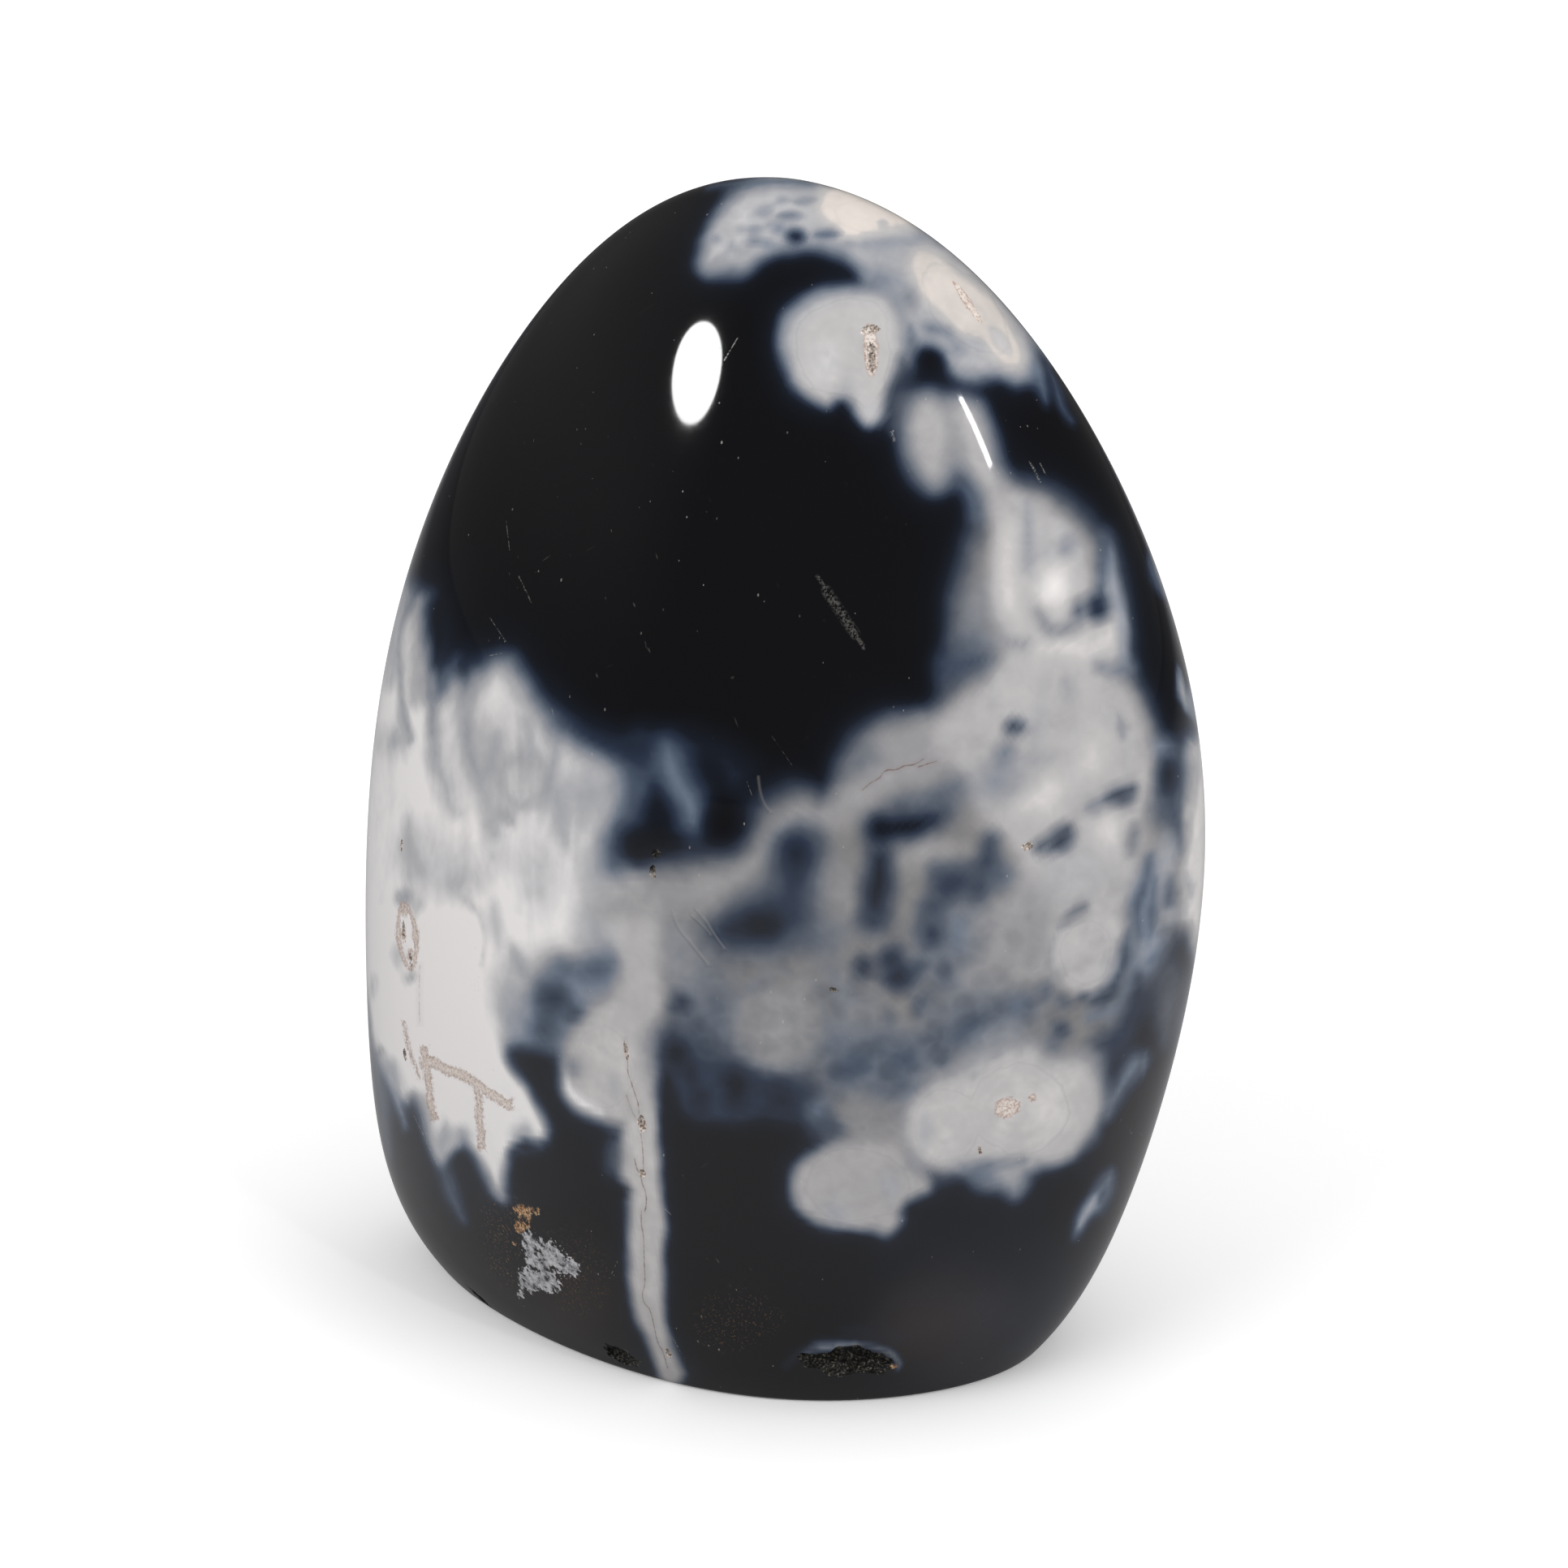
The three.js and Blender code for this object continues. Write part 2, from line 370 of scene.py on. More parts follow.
# The front, as it is seen: across and up in millimetres from the foot, lowest layer first
FACE = (
    # the pale body below the black cap, from the left end to the right end
    Cloud(.57, CREAM, 2.56, ((-40, 40), (-16, 45.6), (-13.2, 45.4), (-11.4, 46.4), (-9, 47), (-6, 47.4),
        (-4.5, 48.2), (-3.4, 49.8), (-2.6, 51.4), (-1.4, 52.6), (.5, 53.4), (2, 53.2), (3.2, 52.4), (4, 53.4),
        (4.8, 55.3), (5.9, 57.6), (7.8, 58.9), (10.5, 59.6), (13, 60), (14.3, 61.8), (14.7, 65), (14.8, 68),
        (15, 71), (15.8, 74), (16.9, 76.5), (17.6, 79), (19.5, 80.2), (22.6, 79.8), (25.3, 78.1), (26.8, 76),
        (28.2, 75), (29.1, 71), (29.5, 67.5), (30.2, 63.5), (31.4, 60.4), (32.8, 57.6), (34.4, 56), (36, 54),
        (42, 50), (42, 36), (35.6, 40.6), (33.6, 39.6), (32.6, 37.2), (31.2, 34.6), (30, 31.6), (28, 30),
        (24, 26), (12, 20), (4.5, 22.6), (2.6, 24.6), (1.8, 27), (.4, 28.4), (-2, 28.9), (-5, 30), (-8, 31.6),
        (-11, 31), (-14, 25), (-18, 30), (-22, 32), (-26, 33)), .2, 1.4),
    Spot(.46, COOL, 3.25, (-6.6, 33.4), (2, 4)),
    Spot(.62, PLAIN, 2.75, (-9.4, 38.6), (1.8, 3.4), 15),
    Strand(.16, BLUE, 2.6, ((-24, 63.6, .3), (-18, 58.6, .7), (-14.4, 56.2, 1.2), (-13.2, 53.4, 1.4),
        (-13.8, 50.2, .9))),
    # left end, its whites laid brightest, partly as painted light on the side the light falls from
    Cloud(1, PLAIN, 2.3, ((-45, 73), (-34, 71.5), (-33.2, 69.6), (-32.4, 70.4), (-31.9, 69.6), (-31.5, 67),
        (-31.4, 64.6), (-31.2, 62.6), (-30.4, 61.8), (-29.6, 63), (-28.9, 62.6), (-28.3, 62.2), (-27.2, 63.6),
        (-25.9, 64.6), (-24.8, 64.5), (-23.6, 63), (-22.4, 61.2), (-20.8, 59.5), (-19.2, 58), (-17.8, 57),
        (-16.2, 56.2), (-14.9, 55.2), (-14.6, 53.2), (-15, 51), (-15.6, 49.4), (-15.9, 47.6), (-15.6, 46.2),
        (-13.6, 45.2), (-12.2, 42), (-13.6, 39), (-16, 39.6), (-18.4, 39.4), (-20.4, 39.2), (-21.6, 38),
        (-22.6, 36.8), (-24, 35.6), (-24.6, 33.6), (-24.9, 31), (-26, 27), (-32, 28), (-36, 31.5), (-45, 34)),
        .32, 1.3),
    Cloud(1, PLAIN, .8, ((-24.6, 33.6), (-24.9, 31), (-24, 29), (-22.6, 27), (-21.5, 25.3), (-20.9, 24),
        (-21.1, 22.8), (-22, 22.3), (-23.2, 22.9), (-23.8, 22.5), (-24.3, 21.6), (-24.1, 20), (-24.2, 18.2),
        (-24.7, 17.3), (-25.4, 17.6), (-26.4, 19.4), (-27.2, 21), (-27.9, 21.9), (-28.6, 22.5), (-29.4, 21.5),
        (-30.1, 20.5), (-30.8, 21), (-31.3, 22.4), (-31.7, 24.6), (-32.1, 26.2), (-32.7, 26.7), (-33.3, 26.1),
        (-34, 26.6), (-34.9, 28), (-35.7, 29.8), (-36, 30.8), (-45, 32), (-38, 44), (-28, 44)), .3, .8),
    # painted light: the white is lifted to full milk and past it on the lit left end
    Spot(1.04, WARM, 4, (-30.5, 36.5), (4.6, 9)),
    Spot(.98, WARM, 4, (-28, 49), (3, 3.6)),
    Cloud(.87, PLAIN, 3.5, ((-28.4, 60.4), (-25.4, 61.2), (-19.4, 55.6), (-17.2, 52.6), (-18.6, 50.2),
        (-22, 51), (-27, 53), (-29.4, 56))),
    Spot(.7, COOL, 3.5, (-17.1, 53.3), (.9, 1.6), 10),
    Spot(.84, PLAIN, 1.5, (-17, 53.6), (2.2, 2.8), 8, .3),
    Spot(.76, COOL, 3, (-19.3, 52.2), (1, 1.6), 10),
    Spot(.5, BLUE, 2.38, (-16.2, 46.5), (1.1, 1.1), -20),
    Spot(.86, COOL, 3.5, (-22.2, 46.4), (.9, 2.2), 12),
    Spot(.86, COOL, 2.5, (-25.5, 47.5), (1, 1.2)),
    Spot(.86, PLAIN, 4, (-18.2, 46.6), (1.6, 3.6)),
    Spot(.7, COOL, 2.5, (-16.4, 41.4), (1.2, 1.8), 20),
    Spot(.66, COOL, 2, (-15.4, 38.8), (.8, 1.2)),
    Spot(.88, COOL, 3.75, (-32.4, 47.4), (1.2, 2.6), 10),
    Spot(.9, COOL, 4, (-30, 47.6), (1.6, 1.4)),
    Spot(.8, COOL, 1.88, (-34.3, 57.8), (1, 1)),
    Spot(.6, COOL, 1.12, (-33.5, 44.1), (.5, .3)),
    Spot(.8, COOL, 2.4, (-28.9, 45.3), (.9, 1)),
    Spot(.84, COOL, 1.75, (-25.6, 41.6), (.4, 1.6), 5),
    Spot(.66, COOL, 1.38, (-23.4, 38.3), (.45, 1.3), 24),
    Strand(.74, BLUE, 1.5, ((-34.2, 71.4, .3), (-34.5, 67.5, .4), (-34.9, 63, .2))),
    Strand(.62, COOL, .69, ((-33.3, 70.4, .12), (-33.8, 67.6, .14), (-33.9, 64, .12), (-33.6, 60.4, .14),
        (-33, 58, .1))),
    Strand(.84, PLAIN, 1.12, ((-32.5, 67.6, .3), (-32.7, 64, .6), (-32.6, 61.4, .4))),
    Strand(.52, COOL, 1.1, ((-31.5, 65, .05), (-31.5, 62.6, .2), (-31.1, 60.4, .2), (-31.1, 58.6, .1))),
    Strand(.7, COOL, 1.4, ((-31, 59.6, .15), (-30.8, 57, .4), (-30.4, 55, .3), (-29.7, 53.4, .3),
        (-29, 51.6, .1))),
    Strand(.71, COOL, 1.3, ((-28.6, 61.6, .1), (-28.5, 59.6, .2), (-28.2, 57.6, .25), (-27.6, 56, .2),
        (-26.8, 55, .25), (-26, 55.3, .2), (-25.5, 56.5, .12), (-25.4, 58.2, .05))),
    Strand(.84, PLAIN, 1.12, ((-33.2, 50.8, .2), (-33.1, 48.4, .4), (-32.2, 46.2, .3))),
    Strand(.74, COOL, 1.3, ((-22.8, 59.4, .1), (-22.7, 57.8, .2), (-22.7, 56.5, .25))),
    Strand(.71, COOL, 1.3, ((-20.6, 58, .1), (-20.5, 56.4, .3), (-20.9, 54.6, .2), (-21, 52.8, .1))),
    Strand(.74, COOL, 1.4, ((-20.1, 52.2, .1), (-19.5, 50.4, .15), (-19.3, 48.6, .1))),
    Strand(.78, COOL, 1.5, ((-26.8, 54.2, .3), (-26, 51.6, .3), (-25.4, 49.6, .2))),
    Spot(.75, PLAIN, 1, (-23.2, 54.3), (1.9, 2.1), 0, .1),
    Spot(.68, PLAIN, 1, (-24.6, 51.1), (.3, .7), 28),
    Strand(.86, PLAIN, .62, ((-28.4, 44, .1), (-27, 42.6, .15), (-26.7, 40, .1), (-26.9, 38, .05))),
    Spot(.76, COOL, 1.2, (-33.7, 44.1), (.4, .2)),
    Spot(.76, COOL, .9, (-32.3, 43.2), (.12, .4), -15),
    Spot(.72, COOL, 1, (-33.1, 37.1), (.3, .2)),
    Spot(.78, COOL, 1.25, (-34.3, 39), (.3, .8)),
    Spot(.82, COOL, 1.12, (-36.2, 36.2), (.3, 1)),
    Strand(.78, PLAIN, .9, ((-36.7, 31.4, .3), (-36.4, 28, .4), (-35.9, 25, .5), (-35.1, 21.2, .4))),
    Strand(.74, BLUE, 1, ((-34.7, 29.2, .6), (-34.2, 26.6, .6), (-33.6, 23.8, .15))),
    Spot(.72, BLUE, 1.25, (-30.2, 22.6), (.4, 1.3), -4),
    Spot(.66, BLUE, 1.12, (-28.6, 23), (.5, .7)),
    Spot(.76, BLUE, 1.12, (-23.4, 23.5), (.7, .4), 20),
    # the gulf between the left field and the stem
    Cloud(.62, BLUE, 1.6, ((-24.5, 33.2), (-23.4, 35.2), (-22.2, 36.4), (-21.2, 37.4), (-20.2, 38.5),
        (-18.8, 38.1), (-17.4, 38.7), (-15.6, 38.3), (-14.9, 37), (-15.4, 35.5), (-16.8, 34.6), (-17.4, 33),
        (-18.6, 32), (-19.7, 31), (-20.3, 29.6), (-23, 29.6), (-24.4, 31))),
    Spot(.7, BLUE, 2, (-24, 33.6), (.8, 2.2), 10),
    Spot(.5, BLUE, 1.12, (-20.2, 31.9), (.4, .9), 10),
    Spot(.12, BLUE, 1.7, (-20.6, 35), (1, .7), -10),
    Spot(.22, BLUE, 1.12, (-18.5, 33.3), (.7, .7), 30),
    Spot(.3, BLUE, 1.5, (-21.2, 32.4), (.9, 1.2), -10),
    Spot(.4, BLUE, 1.5, (-19.3, 37.6), (.8, .8), 0),
    Spot(.38, BLUE, 1.6, (-16.6, 37.6), (1.5, .9), 12),
    Cloud(.02, BLUE, 1.22, ((-24, 30.6), (-22.2, 30.5), (-20.3, 30.2), (-20.1, 28), (-19.4, 26),
        (-17.9, 24.7), (-15.6, 23.9), (-14.9, 19), (-24, 17.4), (-24, 21.4), (-22.8, 22.2), (-20.7, 22.4),
        (-20.5, 24.2), (-22.2, 27.2), (-23.7, 29.2))),
    Strand(.3, BLUE, .75, ((-20.8, 22.4, .1), (-22.2, 21.8, .25), (-24, 21.6, .15))),
    Strand(.83, WARM, 1.25, ((-13.1, 44.5, 1.2), (-12.9, 41, 1.5), (-12.8, 38, 1.7), (-12.9, 35, 2.1),
        (-13.2, 32, 1.9))),
    Cloud(.85, WARM, .94, ((-20, 28.8), (-19.5, 30.9), (-18.3, 32.5), (-16.6, 34), (-14.6, 34.6), (-12.6, 31),
        (-13, 27), (-14, 24.3), (-15.6, 24.2), (-17, 24.7), (-18.4, 25.4), (-19.5, 26.8)), .28, .7),
    Strand(.99, COOL, .56, ((-19.4, 28.4, .1), (-18.9, 27, .35), (-17.8, 25.8, .35), (-16.4, 25.1, .15))),
    Spot(.56, COOL, 1.12, (-18.9, 29.1), (.8, .45), -40),
    Spot(.76, COOL, 1, (-15.2, 27.3), (.35, .9), 5),
    Strand(.86, WARM, .69, ((-12.9, 31, 1.7), (-12.7, 28, 1.5), (-12.5, 25.5, 1.4), (-12.8, 23, 1.6),
        (-12.9, 21, 1.9), (-12.6, 19.4, 1.55), (-12.2, 18.2, 1.2), (-12.4, 17, 1.4), (-12.3, 15, 1.55),
        (-12.2, 12, 1.55), (-12.1, 9.6, 1.5), (-11.9, 7.6, 1.35), (-11.4, 5.6, 1), (-10.8, 3.8, .95),
        (-10.2, 2, 1.1)), .26, .6),
    Spot(.46, PLAIN, 1.62, (-15.2, 21.3), (.6, 1.2)),
    Spot(.02, WARM, .75, (-14.4, 18.2), (.7, .4), 25),
    Strand(.46, BLUE, 1.2, ((-30.2, 20.2, .3), (-29.4, 18.4, .7), (-28.5, 15.8, .3))),
    # the blue bay under the black cap
    Strand(.16, BLUE, 2, ((-30.4, 69, .3), (-29.8, 66, .8), (-27.6, 65.4, .3))),
    Strand(.07, BLUE, 1.12, ((-30.3, 69.4, .8), (-30.7, 66.8, .6), (-30.9, 64.6, .25))),
    Strand(.46, BLUE, 1, ((-30.6, 61.8, .1), (-29.8, 63.4, .3), (-28.9, 64.8, .1))),
    Spot(.4, BLUE, 2.8, (-13, 54.2), (1.2, 2.8), -4),
    Spot(.24, BLUE, 2.6, (-11.6, 56.8), (2.2, 1.2), 0),
    Strand(.2, BLUE, 2.4, ((-19.4, 59.2, .3), (-16.6, 58, .6), (-13.4, 57, .6))),
    Spot(.3, BLUE, 2.25, (-14.6, 49), (.8, 2.4), -6),
    Strand(.19, BLUE, 2.6, ((-12, 57.4, .6), (-9, 57.4, .8), (-6, 56.6, .7), (-4.4, 54.8, 1.2))),
    Strand(.6, BLUE, 2.2, ((-10.2, 57.2, .3), (-10, 55.4, 1.1), (-9.2, 53.4, 1.3), (-8.5, 51.4, 1.1),
        (-8.1, 50, .4))),
    Spot(.02, BLUE, 1.62, (-12.6, 48.6), (1.3, 1.3), 20),
    Spot(.05, BLUE, 1.38, (-11.2, 52), (.6, 1.6), 10),
    Spot(0, BLUE, 2, (-5.4, 50.2), (1.6, 2), 15),
    # the strand that joins both fields
    Strand(.71, WARM, 2, ((-15, 43.2, 1.6), (-11, 44.3, 1.6), (-7.5, 44.9, 1.4), (-4.6, 45.9, 1.3),
        (-2.7, 47.3, 1), (-1.2, 49.2, .8), (.6, 51.3, .9), (3, 50.9, .9), (5.6, 52.4, 1.5), (8.4, 55, 2.4),
        (12, 57, 2.8), (16, 58, 3))),
    # right end, its whites laid dimmer than the left end's, partly as painted shade on the side turned from
    # the light
    Cloud(.79, WARM, 1.2, ((20, 79.4), (22.4, 78.8), (24.5, 77.5), (26, 75.8), (26.8, 74), (27.4, 71.6),
        (28.3, 73.4), (28.9, 71.6), (29.2, 69), (29.4, 66.6), (30, 63.4), (31, 60.6), (32.2, 58.4),
        (32.6, 56.4), (32.4, 54), (32, 51.5), (31.9, 49), (31.2, 47.4), (30.6, 45), (30.2, 43.2), (29.6, 41),
        (28.6, 37.5), (26, 35.8), (24, 37), (21.8, 37.2), (19.6, 38), (18.8, 41), (19.6, 44), (20.6, 46),
        (19.6, 48.6), (17.4, 50.6), (15.8, 54.4), (13, 57.6), (14.6, 60.6), (17, 62.8), (19, 65), (18.6, 68),
        (18.4, 71), (18.2, 74), (18.8, 77)), .2, 1),
    Spot(.56, PLAIN, 2.6, (17.2, 69.2), (1, 2.2), -10),
    Spot(.44, COOL, 1.5, (16.2, 66.6), (1.2, .5), -6),
    Strand(.6, PLAIN, 1.12, ((17.6, 66.7, .2), (19.6, 66.5, .4), (21.4, 66.6, .1))),
    Cloud(.3, BLUE, 1.76, ((13.4, 65), (15.4, 65.6), (17.6, 65.5), (18.2, 64.8), (16.8, 63.8), (14.4, 63.2))),
    Strand(.88, WARM, 1.62, ((19.6, 78, .7), (19.6, 74, .9), (19.9, 70, .9), (20.3, 68.4, .4))),
    Strand(.66, COOL, 1, ((21.3, 78.4, .3), (21.3, 75.4, .35), (21.3, 73, .15))),
    Spot(.78, PLAIN, .88, (23.6, 73.9), (2.1, 2.8), 4, .1),
    Spot(.6, COOL, 1.12, (24.7, 74.8), (.45, .8), -22),
    Spot(.72, COOL, 1, (23.1, 74.3), (.4, .5)),
    Spot(.7, PLAIN, 1, (21.5, 74.4), (.2, 1.3)),
    Spot(.96, WARM, 2, (23.7, 71.6), (1.2, 1.6)),
    Strand(.87, WARM, 1.25, ((22.4, 66, .4), (25, 65.9, .9), (28.2, 66.6, 1.2), (28.9, 68.6, .5))),
    Spot(.8, PLAIN, .56, (20.7, 62), (2.2, 2.3), 0, .08),
    Spot(.8, PLAIN, .56, (27.6, 56.6), (2.7, 3.4), -8, .08),
    Spot(.88, WARM, 2.25, (27, 56), (1.6, 2.2), -10),
    Spot(.84, WARM, 2, (20.6, 62.8), (1.2, 1.2), 0),
    Spot(.92, WARM, 2.25, (22.6, 53), (2.4, 1.3), 30),
    Spot(.9, WARM, 2, (28.4, 49.8), (1.4, 1.8), -20),
    Spot(.62, COOL, 2.5, (18.8, 54.4), (1.9, 1.1), 38),
    Spot(.68, PLAIN, 1.5, (22, 56.3), (1.2, .4), 12),
    Spot(.72, PLAIN, 1.5, (22, 59), (.7, 1.3), 0),
    Spot(.78, PLAIN, 2.75, (25.6, 46.2), (2.4, 1.6)),
    Spot(.68, COOL, 1.88, (20, 40.4), (1.3, 1.4)),
    Strand(.7, BLUE, .9, ((28.5, 74.4, .1), (29, 71.8, .25), (29.4, 68, .25), (30, 64.8, .1))),
    Strand(.38, BLUE, 1, ((28, 75.4, .3), (28, 73, .35), (27.9, 70.8, .3))),
    Spot(.6, BLUE, 1.25, (33.4, 57), (.8, .8), -35),
    Spot(.5, PLAIN, 2, (6.6, 56.2), (1.5, .9), 20),
    Spot(.78, COOL, 3, (-24.4, 35.6), (.8, 2.4), 6),
    Spot(.26, BLUE, 2, (-20.3, 34.7), (1.1, .9), -10),
    Spot(.1, BLUE, 1.1, (27.4, 69.6), (.85, 1), -20),
    Spot(.34, COOL, .9, (25.7, 69.3), (.4, .8), -10),
    Strand(.56, PLAIN, 1, ((22.3, 69.2, .1), (23, 67.9, .5), (24.1, 67.5, .55), (25.2, 67.9, .45),
        (25.7, 68.6, .1))),
    Spot(.24, COOL, .94, (20, 59.1), (.8, .6), 10),
    Spot(.5, COOL, 1.25, (19.2, 56.8), (.6, .8), -38),
    Strand(.5, COOL, 1.12, ((27.4, 64.5, .1), (28.8, 64.3, .45), (30.4, 64.3, .4))),
    Spot(.7, PLAIN, 1, (24.8, 62.2), (.35, .9), 0),
    Spot(.6, PLAIN, .75, (29.6, 59), (.2, .7), 18),
    Cloud(.2, COOL, 1.08, ((22.2, 48.4), (23.2, 49.2), (24.3, 50.2), (25, 50.3), (25, 49.1), (24.2, 48.2))),
    Cloud(.22, COOL, .94, ((28.3, 52.3), (28.8, 53.1), (29.8, 53.8), (30.6, 54), (30.6, 53), (29.6, 52.2))),
    Spot(.56, COOL, .88, (27.4, 52), (.8, .3), 20),
    Cloud(.3, BLUE, 1.6, ((32.9, 54.4), (33.6, 56), (34.6, 56.2), (35.2, 58.6), (36, 58.6), (35.7, 54.6),
        (35.2, 51.6), (35.1, 48.8), (34.7, 48), (34, 49.6), (33, 50.9), (32.7, 52.4))),
    Spot(.06, BLUE, 1.4, (33.9, 54.7), (.8, 1.5), -12),
    Spot(.76, WARM, .62, (35.4, 51.6), (.15, .7), -8),
    Cloud(.93, WARM, .94, ((36.3, 58.2), (35.9, 54.6), (35.5, 51.6), (35.2, 48.6), (34.9, 46), (34.8, 43.4),
        (35, 42), (35.6, 41.2), (36.2, 39.2), (37.5, 37), (45, 37), (45, 58)), .2, .8),
    Spot(.74, COOL, 1.25, (33.4, 47.2), (.9, 2.2), -4),
    Spot(.72, COOL, 1.12, (34, 42.6), (.6, .8), -20),
    Spot(.36, BLUE, .88, (33.8, 44.4), (.35, 1), -4),
    Spot(.74, COOL, 1, (35.4, 45), (.25, .8), 15),
    Spot(.6, BLUE, .88, (32.7, 72.2), (.4, 2.2), 20),
    Spot(.84, PLAIN, .7, (35.2, 62), (.45, 2.4), 17),
    Spot(.48, PLAIN, 1, (30.9, 49.9), (.35, .6), -20),
    Spot(.5, PLAIN, 1.12, (30.3, 48.5), (.4, .6), -25),
    # slate marks of the middle
    Cloud(.23, BLUE, 2.2, ((-.8, 49), (.4, 49.8), (2, 49.8), (3, 48.6), (3.1, 46.4), (2.7, 44), (2.5, 41.6),
        (1.4, 40.2), (-.6, 39.4), (-3, 39.2), (-5.4, 39.6), (-6.6, 40.6), (-6.4, 41.8), (-5, 42.9),
        (-3, 44.2), (-1.5, 45.2), (-.9, 46.8))),
    Spot(.13, BLUE, 2.2, (.9, 47.8), (1.1, 1)),
    Spot(.04, BLUE, 1.8, (-2, 41.8), (1.5, 1)),
    Spot(.11, BLUE, 1.8, (-4.6, 41.4), (1, .6), 10),
    Spot(.36, COOL, 2.2, (2.6, 40.2), (1.3, .7), -10),
    Spot(.48, PLAIN, 2.2, (4.4, 41), (1.3, .7), 15),
    Spot(.66, WARM, 2.25, (4.6, 45), (1, 2)),
    Spot(.73, WARM, 2.38, (12.4, 47.8), (2.4, .9), 15),
    Cloud(.14, BLUE, 2, ((7.1, 49.6), (7.5, 50.8), (9, 51.4), (11.2, 51.6), (13.4, 52.2), (14.2, 51.6),
        (13.4, 50.6), (11.6, 49.5), (9.6, 49), (8, 48.9))),
    Spot(.02, BLUE, 1.6, (8.5, 50.1), (.6, .5)),
    Spot(.02, BLUE, 1.6, (11.2, 50.6), (1.3, .5), 14),
    Cloud(.42, COOL, 1.9, ((10, 52.4), (12.5, 53.2), (15.2, 54), (15.6, 52.8), (13.8, 52.2), (11.5, 51.9))),
    Strand(.1, BLUE, 1.6, ((8.2, 47.2, 1), (8.1, 45.2, 1.35), (8, 43.4, 1.1))),
    Spot(.2, BLUE, 1.8, (7.8, 41.8), (1, .8)),
    Cloud(.5, PLAIN, 2.43, ((12, 42), (15, 44), (18.4, 42.6), (18.6, 37.4), (16.6, 34.6), (12.6, 35.6),
        (11, 39))),
    Strand(.24, BLUE, 1.3, ((17.8, 49, .5), (17.6, 47.2, .9))),
    Cloud(.25, BLUE, 1.4, ((13, 46.2), (14.6, 46.9), (16.3, 46.7), (16.5, 45.2), (15, 43.8), (13.6, 44.2))),
    Spot(.25, BLUE, 1.4, (13, 43.2), (1.1, .9), 20),
    Spot(.22, BLUE, 1.4, (12.6, 40.9), (1.1, 1.1)),
    Spot(.24, BLUE, 1.4, (17.2, 45), (.9, 1.4), -8),
    Spot(.36, BLUE, 1.4, (19, 45.9), (.9, .8), -20),
    Spot(.46, BLUE, 1.4, (15.2, 40.6), (.6, 1.2)),
    Spot(.19, COOL, 1.1, (7, 37.9), (1, .85), -20),
    Spot(.17, BLUE, 1.1, (9.3, 38.7), (1, .9)),
    Spot(.14, BLUE, 1.2, (9.9, 36.9), (1.4, 1.1), 20),
    Spot(.26, BLUE, 1.1, (11.4, 37.8), (.9, .6), 35),
    Spot(.36, COOL, 1, (14.3, 37.2), (.75, 1.1)),
    Spot(.4, COOL, 1, (12, 34.7), (.7, .9)),
    Spot(.2, BLUE, 1.25, (-9.2, 34.8), (.8, .65)),
    Spot(.47, PLAIN, 1.25, (-2.4, 36.2), (.9, .5), 30),
    Spot(.48, PLAIN, 1.12, (9, 33.3), (.5, .7)),
    Cloud(.5, PLAIN, 2.4, ((3.4, 38.4), (6, 36.6), (7.4, 35), (7.6, 32.8), (5.4, 31.2), (3.2, 30.4),
        (3.8, 33), (3.6, 36))),
    Spot(.6, PLAIN, 1.88, (14.2, 34), (1.1, .6), 10),
    Spot(.62, WARM, 2, (6.4, 33.6), (1.4, .9), 5),
    Cloud(.68, WARM, 2.4, ((21.4, 45.6), (19.6, 43.6), (17.4, 41.6), (16.4, 38.8), (15.4, 36.8), (16.6, 36),
        (19.4, 37.2), (22, 38), (23, 42))),
    Cloud(.44, COOL, 2.29, ((3.4, 31.6), (7, 32), (11, 32.4), (14.4, 33.4), (18, 35), (21.6, 35.4),
        (22, 33.2), (18.4, 31.6), (14, 29.6), (11.6, 27.4), (10.2, 25.6), (7.6, 26.8), (4.4, 27.2))),
    Spot(.27, BLUE, 1.25, (5.3, 28.8), (1.2, .7), 15),
    Spot(.3, BLUE, 1.12, (6.6, 29.4), (.9, .5), -35),
    Spot(.37, COOL, 1.25, (8.3, 31), (1, .7)),
    Spot(.31, BLUE, 1, (10.4, 29.5), (.8, .65)),
    Spot(.37, COOL, 1, (9.6, 28.2), (.7, .5)),
    Spot(.36, COOL, .88, (13.9, 29.6), (.7, .3), 20),
    Spot(.33, BLUE, 1.5, (16.2, 32.2), (1.4, .6), 32),
    Spot(.4, BLUE, 1.25, (20.5, 34.6), (.8, .6), 20),
    Spot(.4, COOL, 1, (8.4, 26.8), (.9, .5), -30),
    Spot(.36, BLUE, 1.25, (11.2, 26.8), (.6, 1.2), 35),
    Cloud(.24, BLUE, 2.8, ((-11, 31.8), (-9, 32.4), (-7.4, 31.2), (-6, 29.8), (-4.4, 29), (-2, 28.2),
        (.6, 28), (2.6, 27.4), (2.6, 25.6), (1, 25.2), (-1.8, 25.4), (-4.4, 25), (-7.2, 25.2), (-9, 26.4),
        (-10.6, 28))),
    Spot(.4, COOL, 2, (-7.2, 31.2), (.9, .9)),
    Spot(.05, BLUE, 1.5, (-9.6, 30.4), (.7, .7)),
    Spot(.05, BLUE, 1.6, (-4.6, 27.4), (.9, .7)),
    Spot(.12, BLUE, 1.6, (-.6, 26.2), (.9, .6), 10),
    Spot(.13, BLUE, 1.4, (-7.4, 26.6), (.6, .5), -20),
    Spot(.1, BLUE, 1.2, (-8.4, 28.6), (.5, .9), -20),
    Strand(.27, BLUE, 1.4, ((-7.4, 29, .2), (-6.3, 27.2, .2), (-6.2, 25.6, .25), (-4.6, 24.8, .25),
        (-2.8, 25.4, .2))),
    Strand(.28, BLUE, 1.4, ((-9.2, 27.6, .15), (-8.9, 25.8, .25), (-7.4, 24.7, .25), (-6, 25, .2))),
